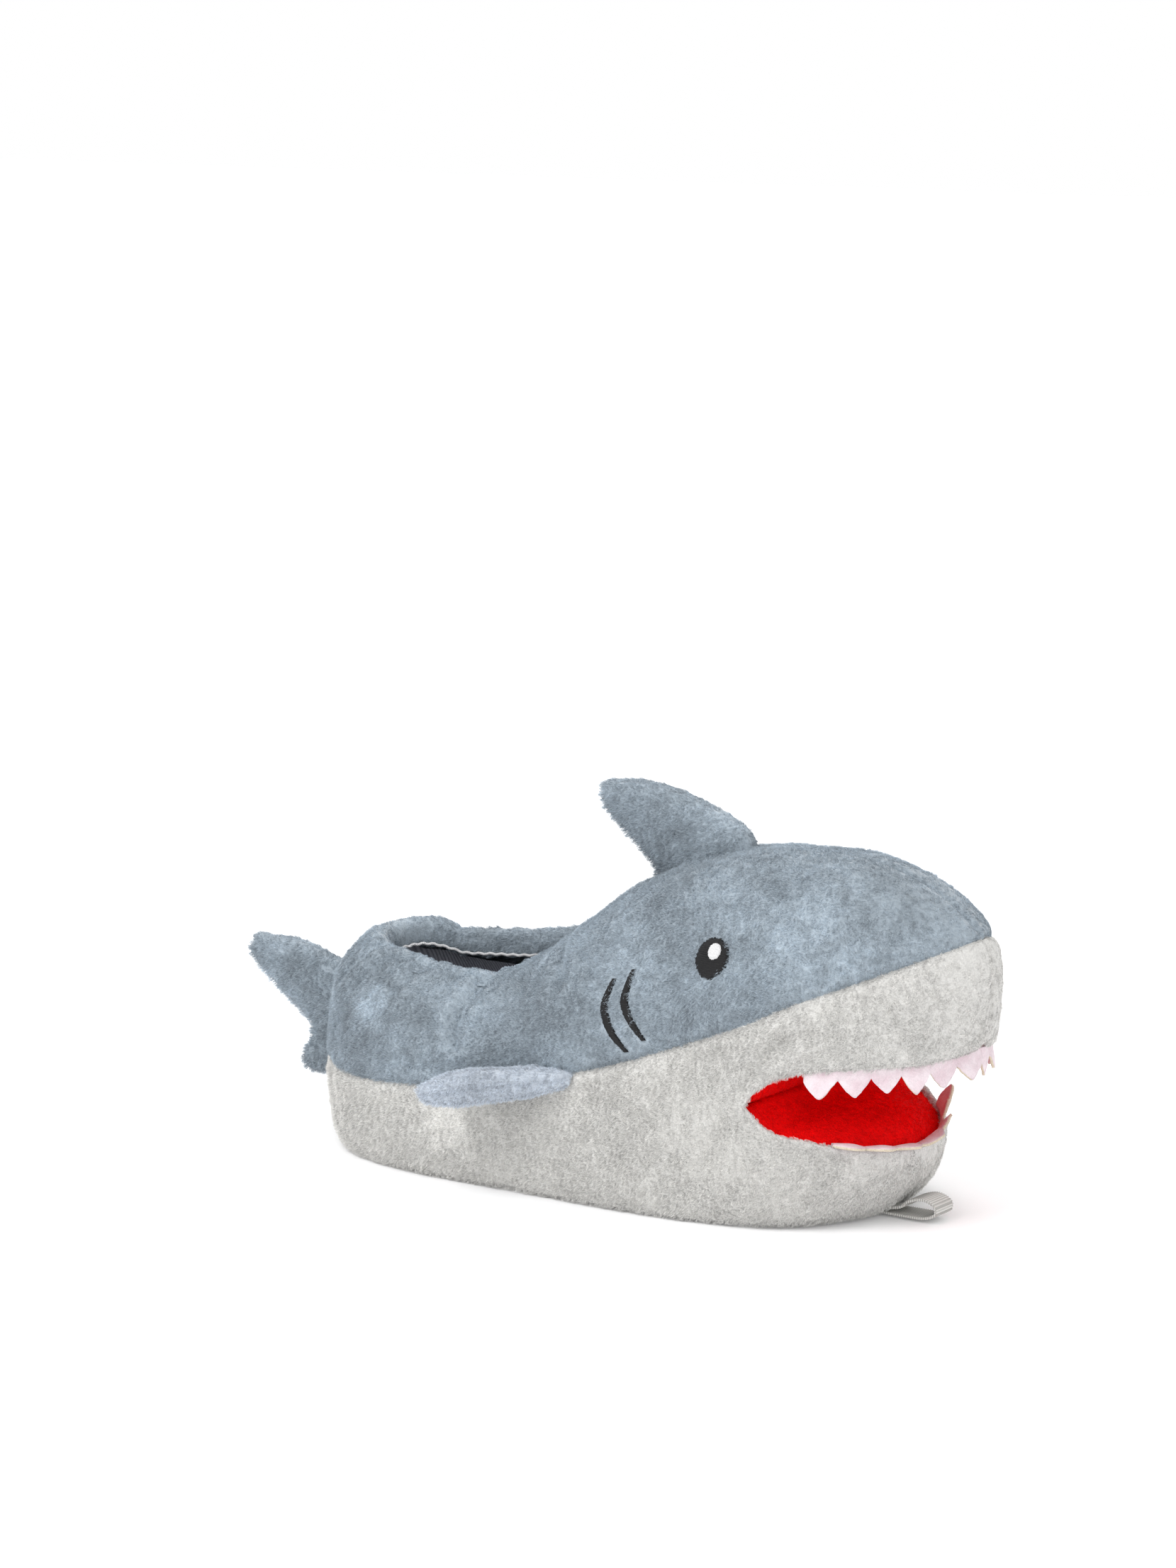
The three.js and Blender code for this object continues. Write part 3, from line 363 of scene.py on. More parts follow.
# ---- materials ----
class Nodes:
    """A material's node tree, built call by call."""

    def __init__(self, name):
        self.material = bpy.data.materials.new(name)
        self.material.use_nodes = True
        self.tree = self.material.node_tree
        self.shader = self.tree.nodes["Principled BSDF"]
        self.place = self.add("ShaderNodeTexCoord").outputs["Object"]

    def add(self, kind, **values):
        node = self.tree.nodes.new(kind)
        for key, value in values.items():
            setattr(node, key, value)
        return node

    def link(self, a, b):
        self.tree.links.new(a, b)

    def scaled(self, stretch):
        node = self.add("ShaderNodeMapping")
        node.inputs["Scale"].default_value = stretch
        self.link(self.place, node.inputs["Vector"])
        return node.outputs["Vector"]

    def noise(self, scale, stretch=(1, 1, 1), detail=3.0, roughness=0.55, distortion=0.0):
        node = self.add("ShaderNodeTexNoise")
        for socket, value in (("Scale", scale), ("Detail", detail), ("Roughness", roughness),
                              ("Distortion", distortion)):
            node.inputs[socket].default_value = value
        self.link(self.scaled(stretch), node.inputs["Vector"])
        return node.outputs["Fac"]

    def wave(self, scale, direction, distortion):
        node = self.add("ShaderNodeTexWave", bands_direction=direction)
        node.inputs["Scale"].default_value = scale
        node.inputs["Distortion"].default_value = distortion
        self.link(self.scaled((1, 1, 1)), node.inputs["Vector"])
        return node.outputs["Fac"]

    def ramp(self, value, stops):
        node = self.add("ShaderNodeValToRGB")
        elements = node.color_ramp.elements
        while len(elements) < len(stops):
            elements.new(0.5)
        for element, (at, colour) in zip(elements, stops):
            element.position = at
            element.color = (*colour, 1)
        self.link(value, node.inputs["Fac"])
        return node.outputs["Color"]

    def mix(self, share, a, b, blend="MIX"):
        node = self.add("ShaderNodeMix", data_type="RGBA", blend_type=blend)
        for value, socket in ((share, node.inputs[0]), (a, node.inputs[6]), (b, node.inputs[7])):
            if isinstance(value, (int, float)):
                socket.default_value = value
            elif isinstance(value, tuple):
                socket.default_value = (*value, 1)
            else:
                self.link(value, socket)
        return node.outputs[2]

    def math(self, operation, a, b):
        node = self.add("ShaderNodeMath", operation=operation)
        for value, socket in ((a, node.inputs[0]), (b, node.inputs[1])):
            if isinstance(value, (int, float)):
                socket.default_value = value
            else:
                self.link(value, socket)
        return node.outputs[0]

    def weighted(self, a, share_a, b, share_b):
        return self.math("ADD", self.math("MULTIPLY", a, share_a),
                         self.math("MULTIPLY", b, share_b))

    def bump(self, height, strength, distance, below=None):
        node = self.add("ShaderNodeBump")
        node.inputs["Strength"].default_value = strength
        node.inputs["Distance"].default_value = distance
        self.link(height, node.inputs["Height"])
        if below is not None:
            self.link(below, node.inputs["Normal"])
        return node.outputs["Normal"]

    def finish(self, colour, normal=None, roughness=0.9, sheen=0.0, level=0.3, glow=0.0):
        self.link(colour, self.shader.inputs["Base Color"])
        if glow:
            self.link(colour, self.shader.inputs["Emission Color"])
        if normal is not None:
            self.link(normal, self.shader.inputs["Normal"])
        for socket, value in (("Emission Strength", glow), ("Roughness", roughness),
                              ("Sheen Weight", sheen), ("Sheen Roughness", 0.4),
                              ("Specular IOR Level", level)):
            self.shader.inputs[socket].default_value = value
        return self.material


def linear(red, green, blue):
    """An sRGB colour, 0 to 255, as linear light."""
    return tuple(((c / 255 + 0.055) / 1.055) ** 2.4 if c > 10 else c / 255 / 12.92
                 for c in (red, green, blue))


def shade(colour, factor):
    return tuple(min(1, c * factor) for c in colour)


def plush(name, colour, mottle=0.2, sheen=0.4, sheen_patches=(), glow=0.0, tuft=0.12):
    """Short pile: soft clouds, small tufts and fine hairs along X; the patches given are painted sheen, paler where
    the pile lies flat and catches the light.
    """
    n = Nodes(name)
    clouds = n.weighted(n.noise(34, (1, 1, 1.2), 2.0, 0.5, 0.5), 0.65,
                        n.noise(120, (1, 1, 1), 2.0, 0.5, 0.8), 0.35)
    base = n.ramp(clouds, [(0.34, shade(colour, 1 - mottle)), (0.5, colour),
                           (0.66, shade(colour, 1 + mottle))])
    # Each patch lightens the colour: painted sheen.
    for centre, radius, gain in sheen_patches:
        for side in (-1, 1):
            away = n.add("ShaderNodeVectorMath", operation="DISTANCE")
            n.link(n.place, away.inputs[0])
            away.inputs[1].default_value = (centre[0] * MM, centre[1] * side * MM, centre[2] * MM)
            reach = n.math("DIVIDE", away.outputs["Value"], radius * MM)
            edge = n.math("SUBTRACT", n.noise(260, (0.8, 0.8, 0.5), 3, 0.6), 0.5)
            ragged = n.math("ADD", reach, n.math("MULTIPLY", edge, 1.6))
            light = n.ramp(ragged, [(0.45, (gain,) * 3), (1.0, (1.0,) * 3)])
            base = n.mix(1.0, base, light, "MULTIPLY")
    tufts = n.noise(520, (0.55, 1, 0.8), 2.0, 0.6, 0.6)
    hairs = n.noise(1500, (0.42, 1, 1), 2.0, 0.65, 0.3)
    strands = n.add("ShaderNodeHairInfo")
    dark = n.ramp(tufts, [(0.34, (1 - tuft,) * 3), (0.6, (1 + tuft / 3,) * 3)])
    fine = n.ramp(hairs, [(0.3, (0.86, 0.86, 0.86)), (0.66, (1.1, 1.1, 1.1))])
    tufted = n.mix(1.0, base, dark, "MULTIPLY")
    tone = n.mix(1.0, tufted, fine, "MULTIPLY")
    each = n.ramp(strands.outputs["Random"],
                  [(0.0, (0.95, 0.95, 0.95)), (0.75, (1.2, 1.2, 1.2)), (1.0, (1.65, 1.65, 1.65))])
    # Darker at the root, lighter at the tip: painted shade deep in the pile and painted light on the tips.
    along = n.ramp(strands.outputs["Intercept"],
                   [(0.0, (0.6, 0.6, 0.61)), (0.85, (1.22, 1.22, 1.22))])
    hair_tone = n.mix(1.0, n.mix(1.0, tufted, each, "MULTIPLY"), along, "MULTIPLY")
    tone = n.mix(strands.outputs["Is Strand"], tone, hair_tone)
    height = n.weighted(tufts, 0.7, hairs, 0.5)
    return n.finish(tone, n.bump(height, 0.6, 0.0009), 0.85, sheen, 0.15, glow)


def felt():
    n = Nodes("felt")
    fibres = n.noise(900, (1, 1, 1), 4, 0.7, 1.5)
    blotch = n.noise(160, (1, 1, 1), 2)
    base = n.ramp(blotch, [(0.35, linear(222, 202, 209)), (0.65, linear(235, 222, 227))])
    fine = n.ramp(fibres, [(0.3, (0.86, 0.86, 0.86)), (0.6, (1.02, 1.02, 1.02))])
    tone = n.mix(1.0, base, fine, "MULTIPLY")
    return n.finish(tone, n.bump(fibres, 0.6, 0.0005), 0.95, 0.2, 0.1)


def felt_edge():
    n = Nodes("felt_edge")
    fibres = n.noise(1300, (1, 1, 1), 4, 0.7, 1.5)
    tone = n.ramp(fibres, [(0.3, linear(206, 188, 160)), (0.65, linear(236, 226, 208))])
    return n.finish(tone, n.bump(fibres, 0.8, 0.0005), 0.95, 0.2, 0.1)


def thread(name, dark, light, direction):
    n = Nodes(name)
    lines = n.wave(900, direction, 1.2)
    twist = n.noise(1400, (1, 1, 1), 2)
    both = n.weighted(lines, 0.7, twist, 0.3)
    tone = n.ramp(both, [(0.2, dark), (0.75, light)])
    return n.finish(tone, n.bump(both, 0.8, 0.0003), 0.5, 0.0, 0.4)


def lining():
    """A grey knit with fine ribs that run up the wall."""
    n = Nodes("lining")
    ribs = n.wave(300, "X", 0.35)
    loops = n.noise(1100, (1, 1, 1), 2)
    both = n.weighted(ribs, 0.7, loops, 0.4)
    tone = n.ramp(both, [(0.2, linear(128, 130, 138)), (0.8, linear(172, 173, 181))])
    return n.finish(tone, n.bump(both, 0.5, 0.0006), 0.9, 0.1, 0.2)


def grosgrain():
    n = Nodes("grosgrain")
    weave = n.noise(1600, (1, 3, 1), 2)
    ribs = n.wave(365, "X", 0.1)
    both = n.weighted(ribs, 0.7, weave, 0.3)
    tone = n.ramp(both, [(0.1, linear(158, 157, 153)), (0.7, linear(214, 213, 209))])
    return n.finish(tone, n.bump(both, 0.4, 0.0003), 0.6, 0.1, 0.3)


def outsole():
    """A thin soft sole with small anti-slip dots."""
    n = Nodes("outsole")
    dots = n.add("ShaderNodeTexVoronoi")
    dots.inputs["Scale"].default_value = 190
    dots.inputs["Randomness"].default_value = 0.0
    n.link(n.scaled((1, 1, 0)), dots.inputs["Vector"])
    cloth = n.noise(900, (1, 1, 1), 3)
    dot = n.ramp(dots.outputs["Distance"], [(0.24, (1, 1, 1)), (0.32, (0, 0, 0))])
    ground = n.ramp(cloth, [(0.3, linear(176, 177, 178)), (0.7, linear(200, 200, 200))])
    tone = n.mix(dot, ground, linear(222, 222, 220))
    return n.finish(tone, n.bump(cloth, 0.4, 0.0004, n.bump(dot, 0.8, 0.0006)), 0.75, 0.1, 0.3)


BLUE = linear(152, 163, 172)
GREY = linear(205, 204, 201)
RED = linear(236, 2, 5)
# Painted sheen, pale where the pile lies flat and catches the light: centre, radius and gain.
HEEL_SHEEN = ((-79, 50, 58), 12, 1.5)
CHEEK_SHEEN = ((30, 50, 84), 20, 1.22)
BROW_SHEEN = ((104, 30, 104), 24, 1.18)
BELLY_SHEEN = ((-37, 57, 20), 12, 1.2)
blue_plush = plush("blue_plush", BLUE, 0.22, 0.5, (HEEL_SHEEN, CHEEK_SHEEN, BROW_SHEEN))
# A lighter copy of the blue plush for the pectoral fins: painted light on their upturned tops.
lit_fin_plush = plush("lit_fin_plush", linear(186, 194, 204), 0.14, 0.5)
grey_plush = plush("grey_plush", GREY, 0.05, 0.4, (BELLY_SHEEN,), 0.0, 0.06)
# The red plush glows a little: painted light in the shaded mouth.
red_plush = plush("red_plush", RED, 0.04, 0.0, (), 0.03)
MATERIALS = {"felt": felt(), "edge": felt_edge(), "lining": lining(), "ribbon": grosgrain(),
             "sole": outsole(),
             "black": thread("black_thread", linear(4, 4, 5), linear(24, 24, 27), "Z"),
             "white": thread("white_thread", linear(214, 214, 216), linear(255, 255, 255), "X")}

floor_mesh = bpy.data.meshes.new("floor")
FLOOR_HALF = 6
floor_mesh.from_pydata([(x * FLOOR_HALF, y * FLOOR_HALF, 0) for x, y in
                        ((-1, -1), (1, -1), (1, 1), (-1, 1))], [], [(0, 1, 2, 3)])
floor = bpy.data.objects.new("floor", floor_mesh)
scene.collection.objects.link(floor)
floor.location.z = -0.0002
paper = Nodes("paper")
grain = paper.noise(30, (1, 1, 1), 2)
paper_tone = paper.ramp(grain, [(0.3, (0.94, 0.94, 0.945)), (0.7, (0.96, 0.96, 0.965))])
floor_mesh.materials.append(paper.finish(paper_tone, None, 0.9, glow=0.07))

# ---- the plush surface: one welded shell, cut into its sewn panels afterwards ----
NOSE_S = len(SNOUT) - 1.0


DENSE = 1600                  # points that a length is measured on, along a piece and across it
ACROSS = 90


def even_stations(point, last, shares, step):
    """Places along a table about a step apart, by the longest of some lines along the piece."""
    dense = np.linspace(0, last, DENSE)
    grid = np.stack([point(dense, np.full_like(dense, t)) for t in shares], 1)
    pace = np.linalg.norm(np.diff(grid, axis=0), axis=2).max(1)
    length = np.concatenate([[0], np.cumsum(pace)])
    count = int(math.ceil(length[-1] / step))
    return np.interp(np.linspace(0, length[-1], count + 1), length, dense)


body_s = even_stations(lambda s, t: section(BODY, s, t), len(BODY) - 1.0,
                       (0.0, SPLIT, 0.7, 1.0), STEP)
snout_s = even_stations(lambda s, t: section(SNOUT, s, t), NOSE_S, (0.0, SPLIT, 0.7), STEP)
jaw_s = even_stations(jaw_point, len(JAW) - 1.0, (0.0, 1.0), STEP)
LOW, SIDE, HIGH = 32, 24, 64  # faces from sole to widest place, to the seam, to the ridge


def zone(point, s, start, end, count):
    """Shares from start to end of one section that cut it into equal lengths."""
    shares = start + (end - start) * np.linspace(0, 1, ACROSS)
    return start + (end - start) * evenly(point(np.full(ACROSS, s), shares), count + 1)


def body_grid(rows, stations):
    found = []
    for s in stations:
        point = lambda a, b: section(rows, a, b)
        seam = float(seam_share(rows, np.array(s)))
        turn = min(SPLIT, seam)
        shares = np.concatenate([zone(point, s, 0, turn, LOW), zone(point, s, turn, seam, SIDE)[1:],
                                 zone(point, s, seam, 1, HIGH)[1:]])
        found.append(section(rows, np.full(len(shares), s), shares))
    return np.array(found)


def jaw_grid(stations):
    return np.array([jaw_point(np.full(LOW + 1, s), zone(jaw_point, s, 0, 1, LOW))
                     for s in stations])


def roll(path, rises, centre):
    """A hem: rows of points from an edge inwards; rises holds (inwards, up) steps."""
    along = np.gradient(path[:, :2], axis=0)
    along /= np.maximum(np.linalg.norm(along, axis=1, keepdims=True), 1e-9)
    inward = np.stack([-along[:, 1], along[:, 0]], 1)
    flip = np.sum(inward * (centre - path[:, :2]), 1) < 0
    inward[flip] *= -1
    rows = [path + np.column_stack([inward * a, np.full(len(path), b)]) for a, b in rises]
    grid = np.stack(rows, 1)
    grid[..., 1] = np.maximum(grid[..., 1], 0)
    return grid


HEM = [(0, 0)] + [(1.2 * (1 - math.cos(a)), 0.9 * math.sin(a))
                  for a in np.radians([30, 60, 90, 125, 165])]
UNDER = [(0, 0), (0.5, -0.4), (1.4, -0.5), (2.4, 0.3)]
HEM_COLUMNS = 12              # a grid with fewer columns is a hem
body_points = body_grid(BODY, body_s)
snout_points = body_grid(SNOUT, snout_s)
jaw_points = jaw_grid(jaw_s)
lip_rows = snout_points[:, 0]
lip_rows = lip_rows[: int(np.argmax(lip_rows[:, 1] <= 1e-6)) + 1]
lip_hem = [(a, -b) for a, b in HEM] + [(2.7, 1.6), (3.2, 3.2)]
jaw_hem = HEM + [(2.7, -1.6), (3.2, -3.2)]
# Grids of points, y positive, and the panel that each belongs to.
patches = [
    (body_points[:, :LOW + SIDE + 1], "belly"), (body_points[:, LOW + SIDE:], "back"),
    (snout_points[:, :LOW + SIDE + 1], "belly"), (snout_points[:, LOW + SIDE:], "back"),
    (jaw_points, "jaw"),
    (roll(lip_rows, lip_hem, np.array([100, 0.0])), "belly"),
    (roll(jaw_points[:, -1], jaw_hem, np.array([90, 0.0])), "jaw"),
    (roll(body_points[:, 0], UNDER, np.array([0, 0.0])), "belly"),
    (roll(jaw_points[:, 0], UNDER, np.array([60, 0.0])), "jaw")]


def middle_line(m):
    return np.column_stack([np.clip(m[:, 0], -80, 100), 0 * m[:, 1], np.full(len(m), 60.0)])


def hem_line(height):
    """A hem faces the way its first strip continues the panel."""
    return lambda m: np.column_stack([m[:, :2] * 0.9, np.full(len(m), height)])


parts, labels = [], []
for grid, label in patches:
    centre = hem_line(grid[..., 2].mean()) if grid.shape[1] < HEM_COLUMNS else middle_line
    for side in (-1, 1):
        parts.append((grid * [1, side, 1], centre))
        labels += [label] * ((grid.shape[0] - 1) * (grid.shape[1] - 1))
shell, shell_faces, source = joined(parts)
shell_labels = np.array(labels)[source]


def outwards(points, faces, up=1):
    """Turns all the faces of a welded sheet one way round; up says how its highest face looks."""
    mesh = bpy.data.meshes.new("scratch")
    mesh.from_pydata(np.asarray(points).tolist(), [], faces)
    work = bmesh.new()
    work.from_mesh(mesh)
    bmesh.ops.recalc_face_normals(work, faces=work.faces[:])
    highest = max(work.faces, key=lambda f: f.calc_center_median().z + 1e-4 * f.index)
    flip = highest.normal.z * up < 0
    turned = [[v.index for v in f.verts][::-1 if flip else 1] for f in work.faces]
    work.free()
    bpy.data.meshes.remove(mesh)
    return turned


shell_faces = outwards(shell, shell_faces)

# ---- seams, folds and clumps ----
seam_x = np.linspace(-119.9, NOSE_SEAM_X - 0.05, 700)
rear_x = seam_x[seam_x < MOUTH_X]
front_x = seam_x[seam_x >= MOUTH_X]
rear_s, front_s = station(BODY, rear_x), station(SNOUT, front_x)
side_seam = np.vstack([section(BODY, rear_s, seam_share(BODY, rear_s)),
                       section(SNOUT, front_s, seam_share(SNOUT, front_s))])
ridge_x = np.linspace(16, 82, 160)
nose_s = np.linspace(0, NOSE_S, 260)
front_line = section(SNOUT, nose_s, 0.0)
centre_seam = np.vstack([section(BODY, station(BODY, ridge_x), 1.0), section(SNOUT, nose_s, 1.0),
                         front_line[front_line[:, 1] < 0.01]])
heel_x = np.linspace(-120, -106, 60)
heel_s = station(BODY, heel_x)
heel_seam = np.vstack([section(BODY, heel_s, 1.0), section(BODY, heel_s, 0.0)])
heel_seam = heel_seam[heel_seam[:, 1] < 0.5]
seams = np.vstack([side_seam, mirrored(side_seam)])
centre_seams = np.vstack([centre_seam, heel_seam])

# Folds of the plush: a line in (x, z) on the flank, its depth and its width.
FOLDS = [
    ([(-84, 75), (-91, 71), (-97, 66), (-101, 60)], 2.4, 2.6),
    ([(-90, 75), (-98, 71), (-104, 65)], 1.5, 2.2),
    ([(-74, 73), (-82, 68), (-90, 60)], 1.3, 2.8),
    ([(-62, 70), (-67, 66), (-71, 60)], 1.2, 2.4),
    ([(-36, 73), (-38, 68), (-39, 62), (-38, 56), (-36, 50)], 2.8, 2.8),
    ([(-28, 77), (-31, 71), (-33, 65)], 1.6, 2.2),
    ([(-9, 86), (-3, 83), (2, 79), (3, 74)], 1.8, 2.8),
    ([(95, 66), (90, 62), (85, 56), (82, 50)], 1.3, 3.0),
    ([(104, 70), (98, 68), (92, 64)], 0.8, 2.6),
    ([(76, 36), (72, 30), (70, 22)], 0.8, 3.0),
    ([(-100, 32), (-97, 22), (-93, 14)], 0.8, 3.0),
]


def fold_points(line, side):
    line = resample(np.array([[x, 0, z] for x, z in line], float), 1.5)
    found = []
    for x, _, z in line:
        table = BODY if x < MOUTH_X else SNOUT
        s = station(table, np.array(x))
        found.append(section(table, s, share_at(table, s, z)))
    return np.array(found) * [1, side, 1]


def relief(points):
    """How far the cloth lies off its smooth form: folds, then the unevenness of the stuffing."""
    height = 0.55 * noise(points, 26, 3) + 0.35 * noise(points, 12, 5)
    for k, (line, depth, width) in enumerate(FOLDS):
        for side, share in ((-1, 1.0), (1, 0.75)):
            moved = [(x + (side > 0) * 4 * math.sin(3.1 * k), z) for x, z in line]
            centre = fold_points(moved, side)
            near = np.linalg.norm(points - centre.mean(0), axis=1) < 32
            if near.any():
                away = distances(points[near], centre)
                swell = 0.45 * np.exp(-((away - 2.1 * width) / width) ** 2)
                height[near] -= share * depth * (np.exp(-(away / width) ** 2) - swell)
    return height


# How far the edge of the opening sags or stands up, along x, on the right and on the left.
EDGE_RIGHT = [(-105, 0), (-90, 1.3), (-78, 2.4), (-64, 1), (-51, -0.5), (-40, -3),
              (-29, -3.4), (-17, -2.2), (-5, -0.6), (10, 0)]
EDGE_LEFT = [(-105, 0), (-90, -1.4), (-78, 0.2), (-60, 2.2), (-48, 3.3), (-35, 3.4),
             (-20, 2.2), (-8, 0.8), (5, 0)]


def ease(t):
    t = np.clip(t, 0, 1)
    return t * t * (3 - 2 * t)


def slump(points):
    """The sag of the opening's edge, fading down the sides."""
    right = np.interp(points[:, 0], *np.array(EDGE_RIGHT).T)
    left = np.interp(points[:, 0], *np.array(EDGE_LEFT).T)
    share = ease((points[:, 1] + 12) / 24)
    lift = (right + (left - right) * share) * ease((points[:, 2] - 38) / 30)
    return np.column_stack([0 * lift, 0 * lift, lift])


def clumps(points):
    return 0.16 * noise(points, (4.2, 2.1, 2.1), 11) + 0.1 * noise(points, (2.4, 1.25, 1.25), 13)


normals = vertex_normals(shell, shell_faces)
groove = 1.5 * np.exp(-(distances(shell, seams) / 1.5) ** 2)
groove = np.maximum(groove, 1.1 * np.exp(-(distances(shell, centre_seams) / 1.3) ** 2))
height = relief(shell) + clumps(shell) - groove
height = np.where(shell[:, 2] < 3, np.minimum(height, 0.2), height)
shell = shell + normals * height[:, None] + slump(shell)
shell[:, 2] = np.maximum(shell[:, 2], 0.15)

# Softens the turn where the cheeks meet the jaw.
edges = np.array([(f[k], f[k - 1]) for f in shell_faces for k in range(len(f))])
band = np.exp(-((shell[:, 0] - MOUTH_X) / 7) ** 2) * 0.8
degree = np.bincount(edges.ravel(), minlength=len(shell))
uses = {}
for a, b in edges:
    pair = (min(a, b), max(a, b))
    uses[pair] = uses.get(pair, 0) + 1
rim_points = np.array(sorted({v for pair, n in uses.items() if n == 1 for v in pair}))
band[rim_points] = 0
for _ in range(14):
    total = np.zeros_like(shell)
    np.add.at(total, edges[:, 0], shell[edges[:, 1]])
    np.add.at(total, edges[:, 1], shell[edges[:, 0]])
    shell += (total / degree[:, None] - shell) * band[:, None] * 0.5
shell += vertex_normals(shell, shell_faces) * (clumps(shell) * band)[:, None]


def panel(name, wanted, material):
    chosen = [f for f, l in zip(shell_faces, shell_labels) if l == wanted]
    used = np.unique(np.concatenate([np.array(f) for f in chosen]))
    place = np.full(len(shell), -1)
    place[used] = np.arange(len(used))
    return make(name, shell[used], [[int(place[v]) for v in f] for f in chosen], material)


back = panel("back_plush", "back", blue_plush)
belly = panel("belly_plush", "belly", grey_plush)
jaw = panel("jaw_plush", "jaw", grey_plush)

# ---- collar: the plush rolls over the edge of the opening and is turned down inside ----
rim_x = OPEN_BACK + (OPEN_FRONT - OPEN_BACK) * (1 - np.cos(np.linspace(0, math.pi, 240))) / 2
rim_x = np.clip(rim_x, OPEN_BACK + 0.02, OPEN_FRONT - 0.02)
right_rim = section(BODY, station(BODY, rim_x), 1.0) * [1, -1, 1]
rim = resample(np.vstack([right_rim, mirrored(right_rim)[::-1]]), STEP, closed=True)
for _ in range(6):
    rim = (np.roll(rim, 1, 0) + np.roll(rim, -1, 0) + 2 * rim) / 4
tangent = unit(np.roll(rim, -1, 0) - np.roll(rim, 1, 0))
outward = unit(np.column_stack([tangent[:, 1], -tangent[:, 0], np.zeros(len(rim))]))
if np.sum(outward * (rim - rim.mean(0))) < 0:
    outward = -outward


def on_body(x, y):
    """Height of the body above (x, y) had it no opening."""
    s = station(BODY, np.clip(x, -119.9, 81.9))
    _, _, _, y_wide, z_wide, z_ridge = np.moveaxis(curve(BODY, s), -1, 0)
    cosine = np.clip(np.abs(y) / np.maximum(y_wide, 1e-6), 0, 1) ** (1 / crown(BODY, s))
    return z_wide + (z_ridge - z_wide) * np.sqrt(1 - cosine ** 2)


# (outwards, up) from the rim; the first ones lie on the body.
PROFILE = [(5.2, -0.5), (4.2, 0.0), (3.1, 0.3), (2.0, 0.55), (1.0, 0.75), (0.0, 0.8),
           (-1.0, 0.62), (-2.0, 0.3), (-3.0, -0.3), (-3.8, -1.2), (-4.3, -2.4), (-4.6, -3.6),
           (-4.7, -4.8), (-4.65, -5.9), (-4.5, -7.0), (-4.2, -7.9), (-3.6, -8.5), (-2.8, -8.7),
           (-2.0, -8.3)]
collar_rows = []
for out, up in PROFILE:
    ring = rim + outward * out
    if out >= 0:
        ring[:, 2] = on_body(ring[:, 0], ring[:, 1]) + up
    else:
        ring[:, 2] = rim[:, 2] + up
    collar_rows.append(ring)
collar_grid = np.stack(collar_rows, 1)
flat = collar_grid.reshape(-1, 3)
collar_faces = quads_of(len(rim), len(PROFILE), wrap=True)
collar_normals = vertex_normals(flat, [list(map(int, f)) for f in collar_faces])
top_of = np.repeat(rim, len(PROFILE), axis=0)
top_row = [p for p, _ in PROFILE].index(0.0)
if (np.sum(collar_normals * (flat - top_of) + [0, 0, 0.2]) < 0
        or collar_normals[top_row::len(PROFILE), 2].mean() < 0):
    collar_faces = collar_faces[:, ::-1]
    collar_normals = -collar_normals
wavy = 0.4 * noise(flat, 14, 21) + 0.25 * noise(flat, (6, 6, 3), 23)
below = ease((top_of[:, 2] - flat[:, 2]) / 3)
off = 0.55 * relief(flat) * (1 - below) + clumps(flat) + wavy * below
flat = flat + collar_normals * off[:, None] + slump(top_of)
collar = make("collar_plush", flat, collar_faces, blue_plush)


def coordinates(obj):
    found = np.empty(len(obj.data.vertices) * 3)
    obj.data.vertices.foreach_get("co", found)
    return found.reshape(-1, 3)


def fix_outside(obj):
    """Turns a closed piece's faces outwards, by the sign of its volume."""
    volume = 0.0
    co = coordinates(obj)
    for p in obj.data.polygons:
        v = list(p.vertices)
        for k in range(1, len(v) - 1):
            volume += np.dot(co[v[0]], np.cross(co[v[k]], co[v[k + 1]]))
    if volume < 0:
        obj.data.flip_normals()
    return obj


def tube(name, ring, radius, material):
    """A thread round a closed line."""
    ahead = unit(np.roll(ring, -1, 0) - np.roll(ring, 1, 0))
    side = unit(np.cross(ahead, [0, 0, 1.0]))
    up = np.cross(side, ahead)
    turns = np.linspace(0, 2 * math.pi, 9)
    grid = np.stack([ring + radius * (side * math.cos(t) + up * math.sin(t))
                     for t in turns], 1)
    found, faces, _ = weld(grid.reshape(-1, 3), quads_of(len(ring), len(turns), wrap=True))
    return fix_outside(make(name, found, faces, material))


STITCH_RISE = 0.25            # the stitching's thread goes up and down by this, every few points
STITCH_TURN = 1.6
STITCH_RADIUS = 0.55
hem_ring = rim - outward * 5.0 + [0, 0, -8.1] + slump(rim)
hem_ring[:, 2] += STITCH_RISE * np.sin(np.arange(len(hem_ring)) * STITCH_TURN)
hem_thread = tube("collar_stitching", hem_ring, STITCH_RADIUS, MATERIALS["white"])

# ---- lining, down to the insole and into the toe ----
WALL = 34                     # points up a half section of the lining
lining_s = even_stations(lambda s, t: section(HOLLOW, s, t), len(HOLLOW) - 1.0,
                         (0.0, SPLIT, 0.8), 2.4)
toe_s = np.linspace(0, len(TOE) - 1.0, 18)
shares = np.linspace(0, 1, WALL)


def foot_line(m):
    """The lining faces the foot, so this is the middle line's mirror image beyond each face."""
    line = np.column_stack([np.clip(m[:, 0], -90, 85), 0 * m[:, 1], np.full(len(m), 28.0)])
    return 2 * m - line


parts = []
for table, stations in ((HOLLOW, lining_s), (TOE, toe_s)):
    grid = np.array([section(table, np.full(WALL, s), shares) for s in stations])
    parts += [(grid * [1, side, 1], foot_line) for side in (-1, 1)]
lining_points, lining_faces, _ = joined(parts)
slack = vertex_normals(lining_points, lining_faces)
slack = slack * (0.7 * np.abs(noise(lining_points, 14, 31)))[:, None]
lining_points = lining_points + slack + slump(lining_points)
inner = make("foot_lining", lining_points, lining_faces, MATERIALS["lining"])


